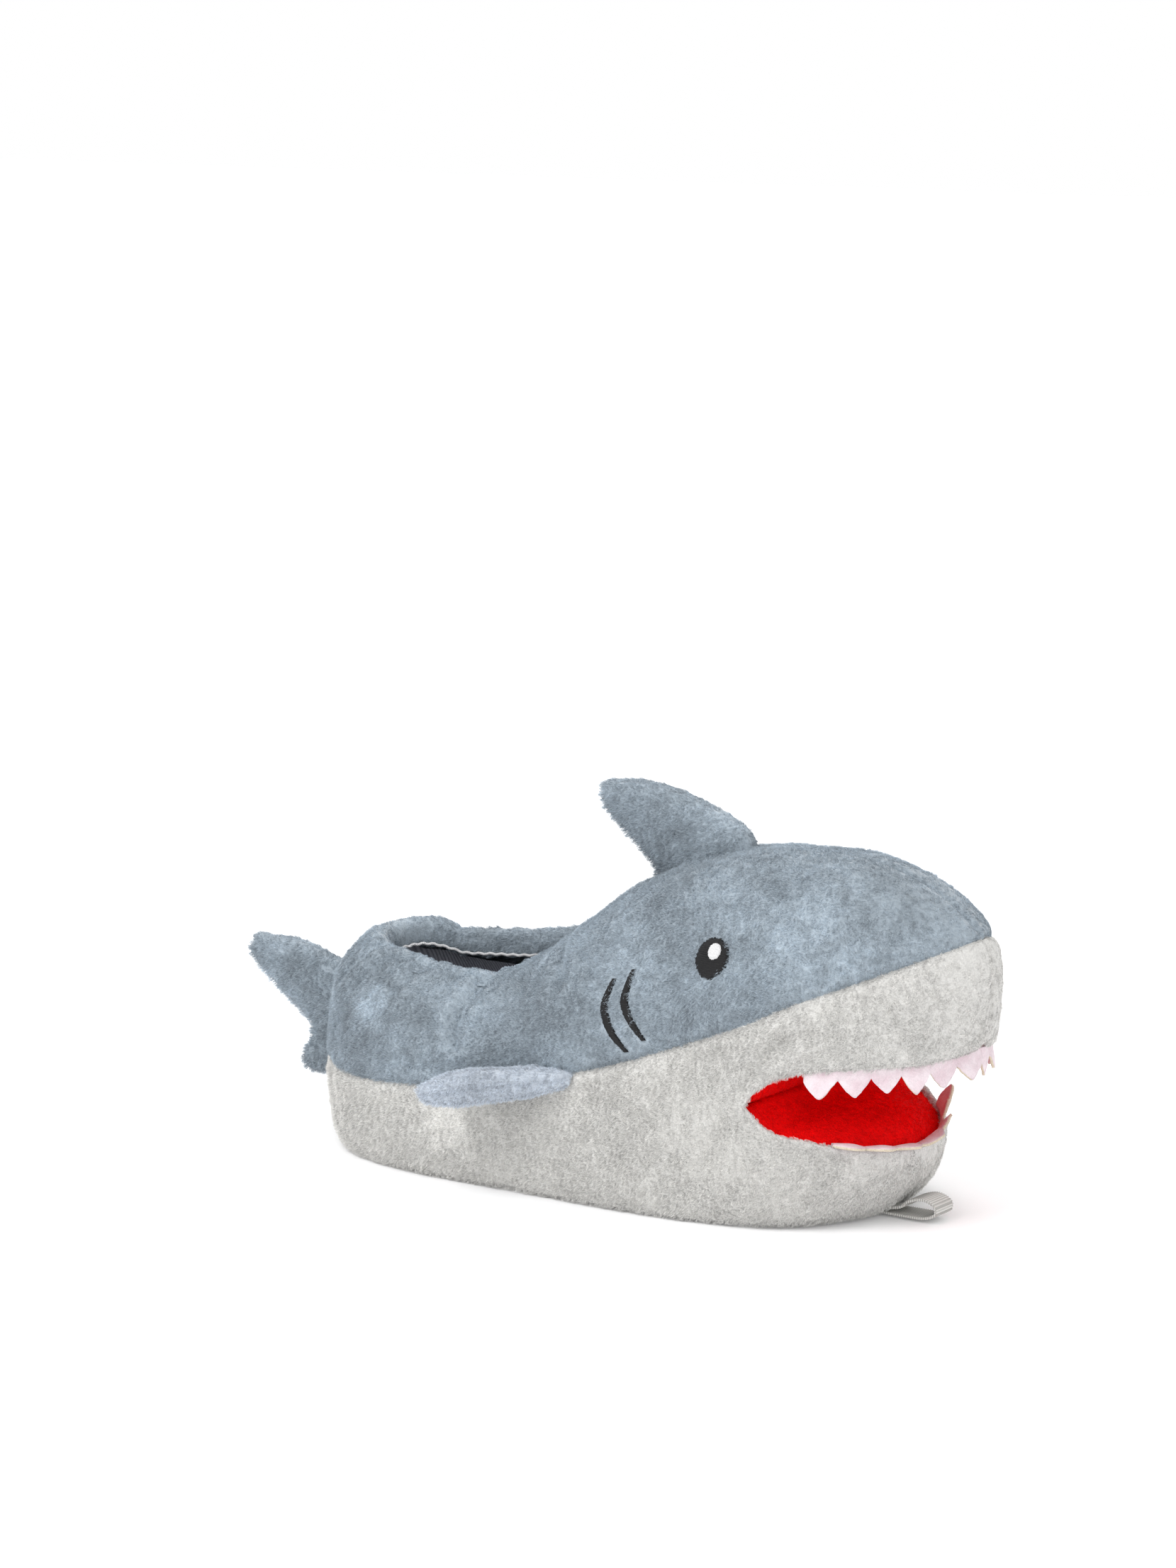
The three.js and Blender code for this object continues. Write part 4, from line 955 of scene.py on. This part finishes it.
def slab(name, outline, bottom, top, crown, edge, material, seed=0):
    """A flat pad with rounded edges, from the right half of its outline."""
    ring = resample(np.vstack([outline, mirrored(outline)[::-1]]), 2.0, closed=True)
    centre = np.clip(ring[:, 0], ring[:, 0].min() + 34, ring[:, 0].max() - 30)
    middle = np.column_stack([centre, 0 * centre, 0 * centre])
    wide = ring * [1, 1, 0]

    def ring_at(depth, height):
        return middle + (wide - middle) * depth + [0, 0, height]

    rows = [ring_at(depth, bottom) for depth in (0.0, 0.4, 0.8, 0.93, 0.97, 0.985)]
    rows += [ring_at(1.0, bottom + edge), ring_at(1.0, top - edge), ring_at(0.985, top)]
    rows += [ring_at(depth, top + crown * (1 - depth ** 2))
             for depth in (0.9, 0.75, 0.55, 0.35, 0.15, 0.0)]
    grid = np.stack(rows, 1)
    quads = quads_of(grid.shape[0], grid.shape[1], wrap=True)
    welded, faces, _ = weld(grid.reshape(-1, 3), quads)
    if seed:
        lift = 0.35 * noise(welded, 15, seed) * (welded[:, 2] > top - 0.01)
        welded = welded + np.column_stack([0 * lift, 0 * lift, lift])
    return make(name, welded, faces, material)


sole_x = np.linspace(-108, 82, 90)
sole_edge = curve(BODY, station(BODY, sole_x))[:, :2]
jaw_edge = curve(JAW, np.linspace(0.2, len(JAW) - 1.0, 40))[:, :2]
jaw_edge[:, 0] -= 1.8 * (1 - jaw_edge[:, 1] / JAW[0, 1])
heel = np.array([[-115.2, 0], [-114.2, 8.5], [-111.6, 16]])
outline = np.vstack([heel, sole_edge, jaw_edge])
outline = np.column_stack([outline[:, 0], -np.maximum(outline[:, 1] - 0.6, 0),
                           np.zeros(len(outline))])
sole = fix_outside(slab("outsole_piece", outline, 0.0, 3.3, 0.0, 0.7, MATERIALS["sole"]))
in_x = np.linspace(-103.8, 82, 70)
in_edge = curve(HOLLOW, station(HOLLOW, np.clip(in_x, -107, 82)))[:, :2]
in_edge = np.column_stack([in_x, in_edge[:, 1] - 0.4])
toe_edge = curve(TOE, np.linspace(0.3, 5.0, 20))[:, :2] - [0.8, 0.4]
outline = np.vstack([[[-104.8, 0], [-104.4, 8]], in_edge, toe_edge])
outline = np.column_stack([outline[:, 0], -np.maximum(outline[:, 1], 0), np.zeros(len(outline))])
insole = fix_outside(slab("insole_pad", outline, 8.8, 12.8, 0.5, 1.2, MATERIALS["lining"], 41))

# ---- mouth: a domed floor and a roof of red plush ----
floor_s = even_stations(jaw_point, len(JAW) - 1.0, (1.0,), 1.5)
lip = curve(JAW, floor_s)[:, 2:5]
LIP_INSET = 2.4
FLOOR_COLUMNS = 34
ROOF_COLUMNS = 30
lip_along = unit(np.gradient(lip[:, :2], axis=0))
lip_in = lip.copy()
lip_in[:, 0] += lip_along[:, 1] * LIP_INSET
lip_in[:, 1] = np.maximum(0, lip_in[:, 1] - lip_along[:, 0] * LIP_INSET)
across = np.linspace(0, 1, FLOOR_COLUMNS) ** 1.15
FLOOR_DOME = 7.6
FLOOR_END = 122.5
rise = FLOOR_DOME * np.sin(math.pi * np.clip(floor_s / (len(JAW) - 1), 0, 1)) ** 0.8
rows = [np.column_stack([np.full(FLOOR_COLUMNS, min(float(p[0]), FLOOR_END)), p[1] * (1 - across),
                         p[2] - 1.6 + (r + 1.2) * (1 - (1 - across) ** 2.4)])
        for p, r in zip(lip_in, rise)]
floor_grid = np.array([rows[0] - [4, 0, 0.5], rows[0] - [2, 0, 0]] + rows)
roof_s = snout_s[: len(lip_rows)]
roof_edge = section(SNOUT, roof_s, 0.0)
roof_rows = []
for k, p in enumerate(roof_edge):
    half = max(0.0, p[1] - 2.6)
    v = half * np.linspace(1, 0, ROOF_COLUMNS)
    dome = 2.2 * min(1, k / 8) * (1 - (v / max(half, 1e-6)) ** 2) if half > 0 else 0 * v
    roof_rows.append(np.column_stack([np.full(ROOF_COLUMNS, p[0] - 0.6), v, p[2] + 0.7 + dome]))
roof_grid = np.array([roof_rows[0] - [4, 0, 1.6], roof_rows[0] - [2, 0, 0.9]] + roof_rows)


def both_sides(name, grid, material, up, seed):
    """A red sheet in both its halves, facing up or down."""
    welded, faces, _ = joined([(grid * [1, side, 1], lambda m: m - [0, 0, up])
                               for side in (-1, 1)])
    off = 0.5 * noise(welded, 11, seed) + 0.2 * noise(welded, 3, seed + 1)
    welded = welded + vertex_normals(welded, faces) * off[:, None]
    return make(name, welded, faces, material)


mouth_floor = both_sides("mouth_floor_plush", floor_grid, red_plush, 1, 51)
mouth_roof = both_sides("mouth_roof_plush", roof_grid, red_plush, -1, 53)

# ---- felt teeth ----
ROOT = 3.4                    # height of the valleys, of a tooth above them, and the felt's thickness
TALL = 6.4
FELT = 1.2
TOOTH_HALF = 5.5
SOFT_TIP = 0.2
UPPER_TIPS = (-58.5, -46.8, -36.2, -26.8, -17, -6.5, 4.5, 15, 26, 37, 48, 59)
LOWER_TIPS = (-33, -22, -11, 0, 11, 22, 33)


def tooth(distance, tips):
    """Height of the felt edge: rounded triangles between the valleys halfway from tip to tip."""
    tips = np.array(tips, float)
    valleys = np.concatenate([[tips[0] - TOOTH_HALF], (tips[1:] + tips[:-1]) / 2,
                              [tips[-1] + TOOTH_HALF]])
    which = np.clip(np.searchsorted(valleys, distance) - 1, 0, len(tips) - 1)
    tip = tips[which]
    edge = np.where(distance < tip, valleys[which], valleys[which + 1])
    share = np.clip((distance - tip) / (edge - tip), 0, 1)
    blunt = np.sqrt(share ** 2 + SOFT_TIP ** 2) - SOFT_TIP
    point = 1 - blunt / (math.sqrt(1 + SOFT_TIP ** 2) - SOFT_TIP)
    tall = 0.94 + 0.1 * np.sin(which * 2.3 + 0.4)
    return ROOT + TALL * tall * point ** 0.85, which


def strip(front, behind):
    """Points and faces of a closed strip, from the grids of its two sides."""
    loop = np.concatenate([front, behind[:, ::-1]], 1)
    n, m = loop.shape[:2]
    faces = quads_of(n, m).tolist()
    faces += [[i * m + m - 1, (i + 1) * m + m - 1, (i + 1) * m, i * m] for i in range(n - 1)]
    faces += [list(range(m))[::-1], [(n - 1) * m + j for j in range(m)]]
    return loop, faces


def teeth(name, right, tips, rising, seed):
    """A strip of felt along a lip; rising gives its lean from straight up, in radians."""
    line = resample(np.vstack([right, mirrored(right)[::-1]]), 0.7)
    for _ in range(4):
        line[1:-1] = (line[:-2] + line[2:] + 2 * line[1:-1]) / 4
    length = lengths(line)
    at = np.arange(tips[0] - TOOTH_HALF, tips[-1] + TOOTH_HALF + 0.05, 0.55)
    path = np.stack([np.interp(at + length[-1] / 2, length, line[:, k]) for k in range(3)], 1)
    along = unit(np.gradient(path[:, :2], axis=0))
    out = np.column_stack([along[:, 1], -along[:, 0], np.zeros(len(at))])
    fray = 0.22 * noise(np.column_stack([at, 0 * at, 0 * at]), 0.8, seed)
    tall, which = tooth(at, tips)
    tall = tall + fray
    rows = 14
    faces_front, faces_back = [], []
    place = path.copy()
    up = np.array([0, 0, 1.0])
    for k in range(rows + 1):
        share = k / rows
        lean = rising(at, share, which)[:, None]
        ahead = out * np.sin(lean) + up * np.cos(lean)
        normal = out * np.cos(lean) - up * np.sin(lean)
        if k:
            place = place + ahead * (tall / rows)[:, None]
        thick = FELT / 2 * (0.8 + 0.2 * min(1, (rows - k) / 2))
        faces_front.append(place + normal * thick)
        faces_back.append(place - normal * thick)
    front, behind = np.stack(faces_front, 1), np.stack(faces_back, 1)
    wobble = 0.16 * noise(front.reshape(-1, 3), 2.4, seed + 1)
    front = front + (out * 0.9)[:, None, :] * wobble.reshape(front.shape[:2])[..., None]
    loop, faces = strip(front, behind)
    obj = fix_outside(make(name, loop.reshape(-1, 3), faces, MATERIALS["felt"]))
    obj.data.materials.append(MATERIALS["edge"])
    for p in obj.data.polygons:
        columns = {v % loop.shape[1] for v in p.vertices}
        if {rows, rows + 1} <= columns <= {rows - 1, rows, rows + 1, rows + 2}:
            p.material_index = 1
    return obj


tooth_x = np.linspace(86, 145.2, 90)
gum = section(SNOUT, station(SNOUT, tooth_x), 0.0) - [0.9, 0.9, 0.6]
gum[:, 1] = np.maximum(gum[:, 1], 0.2)


def upper_lean(at, share, which):
    sway = 0.16 * np.sin(which * 2.7 + 0.6) + 0.1 * np.sin(which * 5.1)
    return math.pi - (0.1 + sway) * (0.4 + share) - 0.04


upper = teeth("upper_teeth_felt", gum * [1, -1, 1], UPPER_TIPS, upper_lean, 61)

lower_s = np.linspace(0.8, len(JAW) - 1.0, 90)
lower_lip = curve(JAW, lower_s)[:, 2:5]
lower_along = unit(np.gradient(lower_lip[:, :2], axis=0)) * 2.0
gum = lower_lip + np.column_stack([lower_along[:, 1], -lower_along[:, 0], np.full(90, 0.9)])
gum[:, 1] = np.maximum(gum[:, 1], 0.2)


def lower_lean(at, share, which):
    sway = 0.12 * np.sin(which * 3.3 + 1.0)
    lean = np.radians(np.interp(at, [-38, -4, 10, 38], [84, 80, 26, 12]))
    curl = np.interp(at, [-38, -2, 10, 38], [0.45, 0.5, 0.9, 1.0])
    return (lean + sway * (at > 0)) * (curl + (1.25 - curl) * share ** 0.7)


lower = teeth("lower_teeth_felt", gum * [1, -1, 1], LOWER_TIPS, lower_lean, 71)


# ---- embroidery ----
def on_head(x, z, across, up, height, side):
    """Points over the cheek, given by their place on it and their height above it."""
    s = station(BODY, x + across)
    t = share_at(BODY, s, z)
    tiny = 1e-3
    a, b = section(BODY, s, t - tiny), section(BODY, s, t + tiny)
    t = t + up / (np.linalg.norm(b - a, axis=-1) / (2 * tiny))
    p = section(BODY, s, t)
    du = section(BODY, s, t + tiny) - section(BODY, s, t - tiny)
    ds = section(BODY, s + tiny, t) - section(BODY, s - tiny, t)
    normal = np.cross(ds, du)
    normal /= np.linalg.norm(normal, axis=-1, keepdims=True)
    normal *= np.sign(normal[..., 1])[..., None]
    return (p + normal * np.asarray(height)[..., None]) * [1, side, 1]


def head_spot(x, z, side, across=0.0, up=0.0):
    """One point of the cheek's surface."""
    return on_head(*(np.array([v], float) for v in (x, z, across, up, 0)), side)[0]


def make_facing(name, points, faces, material, side):
    obj = make(name, points, faces, material)
    if vertex_normals(points, faces)[:, 1].mean() * side < 0:
        obj.data.flip_normals()
    return obj


OVAL = 96                     # points round an oval


def patch(name, x, z, radius_x, radius_up, base, top, side, material, seed):
    """A domed oval of satin stitch, jagged at its edge."""
    turns = np.linspace(0, 2 * math.pi, OVAL + 1)[:-1]
    rings = np.concatenate([np.linspace(0, 0.9, 16), [0.95, 1.0, 1.03, 1.04]])
    jag = 1 + 0.05 * lattice(np.arange(OVAL), 0, 0, seed)
    rows = []
    for ring in rings:
        edge = jag if ring > 0.9 else 1 + (jag - 1) * ring
        across = ring * edge * radius_x * np.cos(turns)
        up = ring * edge * radius_up * np.sin(turns)
        dome = base + (top - base) * math.sqrt(max(0.0, 1 - min(1, ring / 1.04) ** 6))
        ridge = 0.12 * np.sin(2 * math.pi * up / 0.75 + 0.5 * np.sin(across)) * (ring < 0.97)
        rows.append(on_head(np.full(OVAL, x), np.full(OVAL, z), across, up, dome + ridge, side))
    grid = np.stack(rows, 1)
    welded, faces, _ = weld(grid.reshape(-1, 3), quads_of(OVAL, len(rings), wrap=True))
    return make_facing(name, welded, faces, material, side)


GILLS = {"rear": [(28.1, 79.2), (26.5, 70.5), (30.8, 62.4), (38, 56.5)],
         "front": [(35.2, 83.1), (34.1, 73.6), (37.7, 67.2), (44.2, 61.1)]}


def smooth_line(line, step):
    rows = np.array([[x, 0, z] for x, z in line], float)
    return resample(curve(rows, np.linspace(0, len(line) - 1.0, 200)), step)


def gill(name, line, side, seed):
    """A crescent of satin stitch along a line of the cheek."""
    path = smooth_line(line, 0.3)
    q = np.linspace(0, 1, len(path))
    half = 0.35 + 1.0 * np.sin(math.pi * (q * 0.86 + 0.07)) ** 0.7
    saw = 0.22 * lattice(np.arange(len(path)), 0, 0, seed)
    columns = np.array([-1.15, -1, -0.6, -0.2, 0.2, 0.6, 1, 1.15])
    rows = []
    for c in columns:
        across = c * half + (saw if abs(c) >= 1 else 0)
        ridge = 0.1 * np.sin(2 * math.pi * np.arange(len(path)) / 2.5)
        lift = (0.25 if abs(c) > 1.1 else 1.2 * (1 - 0.25 * c * c)) + ridge
        rows.append(on_head(path[:, 0], path[:, 2], across, 0.25 * across, lift, side))
    flat = np.stack(rows, 1).reshape(-1, 3)
    faces = quads_of(len(path), len(columns)).tolist()
    return make_facing(name, flat, faces, MATERIALS["black"], side)


EYE = (64.5, 90.5)
embroidery = []
for side, name in ((-1, "right"), (1, "left")):
    eye = patch(f"eye_thread_{name}", *EYE, 6.1, 7.1, -0.3, 1.15, side, MATERIALS["black"], 81)
    spot = patch(f"eye_spot_thread_{name}", 65.4, 92.3, 2.3, 2.8, 0.9, 1.75, side,
                 MATERIALS["white"], 83)
    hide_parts(f"eye_{name}")
    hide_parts(f"eye_spot_{name}")
    embroidery += [eye, spot]
    for which, line in GILLS.items():
        piece = gill(f"gill_thread_{which}_{name}", line, side, 85)
        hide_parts(f"gill_{which}_{name}")
        embroidery.append(piece)
for piece in embroidery:
    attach(piece, "body")


# ---- fins ----
TIP_REACH = 3.0


def fin(name, rows, normal, root, sink, material, seed):
    """A stuffed fin from its chords; root is how far its first chord goes on into the body."""
    rows = np.array(rows, float)
    dense = curve(rows, np.linspace(0, len(rows) - 1.0, (len(rows) - 1) * 9 + 1))
    a, b, thick = dense[:, :3], dense[:, 3:6], dense[:, 6]
    if root is not None:
        more = np.linspace(1, 0, 6)[:-1]
        a = np.vstack([a[0] + np.array(root) * sink * k for k in more[:, None]] + [a])
        b = np.vstack([b[0] + np.array(root) * sink * k for k in more[:, None]] + [b])
        thick = np.concatenate([np.full(5, thick[0]), thick])
    # The tip is rounded off.
    centre, before = (a[-1] + b[-1]) / 2, (a[-5] + b[-5]) / 2
    ahead = (centre - before) / np.linalg.norm(centre - before)
    chord = (b[-1] - a[-1]) / 2
    turns = np.radians([22, 44, 66, 84, 90])
    out = ahead * min(np.linalg.norm(chord), TIP_REACH) * np.sin(turns)[:, None]
    half_chord = chord * np.cos(turns)[:, None]
    a = np.vstack([a, centre + out - half_chord])
    b = np.vstack([b, centre + out + half_chord])
    thick = np.concatenate([thick, thick[-1] * np.cos(turns)])
    t = np.linspace(0, 1, 27)
    along = (1 - np.cos(math.pi * t)) / 2
    half = np.sin(math.pi * t) ** 0.75
    normal = np.array(normal, float)
    parts = []
    for face in (-1, 1):
        grid = a[:, None] + (b - a)[:, None] * along[None, :, None]
        grid = grid + normal * (face * thick[:, None] * half[None])[..., None]
        parts.append((grid, lambda m, away=face * normal: m - away))
    welded, faces, _ = joined(parts)
    pinch = 0.7 * np.exp(-(distances(welded, np.vstack([a, b])) / 1.3) ** 2)
    off = 0.35 * noise(welded, 14, seed) + 0.6 * clumps(welded) - pinch
    welded = welded + vertex_normals(welded, faces) * off[:, None]
    return make(name, welded, faces, material)


# Chords from root to tip, or from tip to tip: front x y z, rear x y z, half thickness.
DORSAL = [
    [53, 0, 122.5, 13.5, 0, 109, 6.6], [50, 0, 126, 10.5, 0, 112.8, 7],
    [42, 0, 130.3, 5, 0, 117.5, 7], [31, 0, 134.2, -0.5, 0, 122, 6.6], [19, 0, 137.4, -5.3, 0, 126, 6.2],
    [9, 0, 138.6, -8.2, 0, 129.3, 5.6],
    [2, 0, 138.6, -9.2, 0, 132, 5.0], [-2.5, 0, 137.6, -8.6, 0, 134.4, 3.8]]
dorsal = fin("dorsal_fin_plush", DORSAL, (0, 1, 0), (0.332, 0, -0.943), 9, blue_plush, 91)
TAIL = [
    [-141, 0, 14.2, -144.5, 0, 15.5, 2.4], [-135.5, 0, 14.2, -145.8, 0, 18.3, 3.8],
    [-128.5, 0, 16, -145, 0, 22, 4.6], [-119, 0, 23.5, -141.8, 0, 28, 5],
    [-116.5, 0, 34, -142, 0, 32.5, 5.2], [-116.5, 0, 45, -149, 0, 38, 5.4],
    [-119, 0, 53.5, -156.5, 0, 43.3, 5.2], [-133, 0, 58.8, -163.5, 0, 48.5, 5],
    [-145, 0, 62, -168.5, 0, 53, 4.6], [-155, 0, 62.8, -171, 0, 56.5, 3.8],
    [-161.5, 0, 62.4, -169.5, 0, 60, 2.4]]
tail = fin("tail_fin_plush", TAIL, (0, 1, 0), None, 0, blue_plush, 93)
PECTORAL = [
    [17, 58.6, 44.6, -12, 59.8, 41.8, 3.8], [13, 62, 43.8, -17, 62.5, 40.6, 4.8],
    [6, 66.5, 42.8, -21, 65.5, 39.8, 5.6], [-3.5, 71, 41.8, -24.5, 68.5, 38.8, 6.2],
    [-13, 75, 40, -28, 71.5, 37.8, 5.6], [-21, 77.6, 38.4, -31, 74.4, 37, 4.4],
    [-27, 78.6, 37.4, -32.5, 76.8, 36.6, 2.8]]
flippers = {}
for side, name in ((-1, "right"), (1, "left")):
    rows = np.array(PECTORAL) * [1, side, 1, 1, side, 1, 1]
    flippers[name] = fin(f"pectoral_fin_{name}_plush", rows, (0, side * 0.26, 0.966),
                         (0, -side, 0), 6, lit_fin_plush, 95 + side)

# ---- ribbon loop ----
RIBBON_PATH = [(104, 1.1), (112, 1.1), (119, 1.1), (125.5, 1.4), (130.2, 3.2),
               (130, 6.2), (125.5, 7.9), (120, 6.5), (116, 3.8), (108, 2.7)]
path = np.array([[x, 0, z] for x, z in RIBBON_PATH], float)
PATH_STEP = 0.18
RIBBON_HALF = 5.5
RIB = 0.86                    # from one rib of the ribbon to the next
path = resample(curve(path, np.linspace(0, len(path) - 1.0, 400)), PATH_STEP)
along = unit(np.gradient(path, axis=0))
away = np.column_stack([along[:, 2], 0 * along[:, 0], -along[:, 0]])
distance = np.arange(len(path)) * PATH_STEP
ribbing = np.sin(2 * math.pi * distance / RIB)
off = away * (0.4 + 0.13 * ribbing)[:, None]
middles = []
for w in np.linspace(-RIBBON_HALF, RIBBON_HALF, 15):
    selvedge = 0.12 * ribbing if abs(w) == RIBBON_HALF else 0 * distance
    y = np.column_stack([0 * distance, w + np.sign(w) * selvedge, 0 * distance])
    middles.append(path + y)
loop, faces = strip(np.stack([p + off for p in middles], 1),
                    np.stack([p - off for p in middles], 1))
loop[..., 2] = np.maximum(loop[..., 2], 0.1)
ribbon = fix_outside(make("ribbon_loop", loop.reshape(-1, 3), faces, MATERIALS["ribbon"]))


# ---- pile ----
CHILDREN = 12                 # hairs drawn for each one that is placed
UPRIGHT = 0.62
BEND = (-0.5, 0, -0.22)
FUR = 5.5                     # hairs to a square millimetre
FLAT_FUR = 4.0


def pile(obj, per_mm2, length, bend, seed, bare=()):
    """Short hairs over a piece, lying towards the tail; bare are the stitched places."""
    co = coordinates(obj) / MM
    group = obj.vertex_groups.new(name="pile")
    weight = np.ones(len(co))
    for centre, radius in bare:
        weight[np.linalg.norm((co - centre), axis=1) < radius] = 0
    for value in (0.0, 1.0):
        found = np.nonzero(weight == value)[0].tolist()
        if found:
            group.add(found, value, "REPLACE")
    area = sum(p.area for p in obj.data.polygons) * 1e6
    modifier = obj.modifiers.new("pile", "PARTICLE_SYSTEM")
    system = modifier.particle_system
    system.seed = seed
    system.vertex_group_density = "pile"
    s = system.settings
    s.type = "HAIR"
    s.use_advanced_hair = True
    s.count = int(area * per_mm2 / CHILDREN)
    s.hair_step = 3
    s.render_step = 2
    s.hair_length = 0.01
    # A hair is four times as long as the speed it is given here.
    speed = length * MM / 4
    s.normal_factor = speed * UPRIGHT
    s.object_align_factor = tuple(speed * b for b in bend)
    s.factor_random = speed * 0.25
    s.child_type = "INTERPOLATED"
    s.rendered_child_count = CHILDREN
    s.child_length = 1.0
    s.clump_factor = 0.45
    s.clump_shape = 0.2
    s.roughness_1 = 0.0006
    s.roughness_1_size = 0.004
    s.roughness_endpoint = 0.0004
    s.roughness_2 = 0.0005
    s.root_radius = 1.0
    s.tip_radius = 0.35
    s.radius_scale = 0.00011
    s.material = 1


bare = []
for side in (-1, 1):
    for across, up, radius in ((0, 0, 5.4), (0, 2.2, 4.8), (0, -2.2, 4.8)):
        bare.append((head_spot(*EYE, side, across, up), radius))
    for line in GILLS.values():
        for x, _, z in smooth_line(line, 0.8):
            bare.append((head_spot(x, z, side), 1.7))
pile(back, FUR, 1.7, BEND, 1, bare)
pile(belly, FUR, 1.7, BEND, 2)
pile(jaw, FUR, 1.7, BEND, 3)
pile(collar, FUR, 1.6, BEND, 4)
for k, obj in enumerate((dorsal, tail, flippers["right"], flippers["left"])):
    pile(obj, FUR, 1.9, BEND, 5 + k)
pile(mouth_floor, FLAT_FUR, 0.8, (-0.3, 0, 0), 11)
pile(mouth_roof, FLAT_FUR, 0.8, (-0.3, 0, 0), 12)

# ---- what each piece stands for, and what it moves with ----
SIDES = ("right", "left")
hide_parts(*[f"{n}_{s}" for n in ("back_panel", "snout_top") for s in SIDES],
            "snout_filling")
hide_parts(*[f"{n}_{s}" for n in ("belly_panel", "snout_lip", "side_foam")
                     for s in SIDES], "head_filling", "midsole")
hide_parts(*[f"jaw_panel_{s}" for s in SIDES], "toe_foam")
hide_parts("collar_facing")
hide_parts(*[f"lining_{s}" for s in SIDES])
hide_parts("insole")
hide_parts("outsole")
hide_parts("mouth_floor")
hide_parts("mouth_roof")
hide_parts("upper_teeth")
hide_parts("lower_teeth")
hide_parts("dorsal_fin_right", "dorsal_fin_left", "dorsal_fin_filling")
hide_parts("tail_fin_right", "tail_fin_left", "tail_fin_filling")
for name, obj in flippers.items():
    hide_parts(*[f"pectoral_fin_{name}_{n}" for n in ("top", "under", "filling")])
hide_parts("toe_ribbon")

for obj in (jaw, collar, hem_thread, inner, insole, sole, mouth_floor, lower, ribbon):
    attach(obj, "body")
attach(upper, "snout")
for obj in (back, belly, mouth_roof):
    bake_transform(obj)
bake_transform(dorsal)
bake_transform(tail)
for side, name in ((-1, "right"), (1, "left")):
    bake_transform(flippers[name])
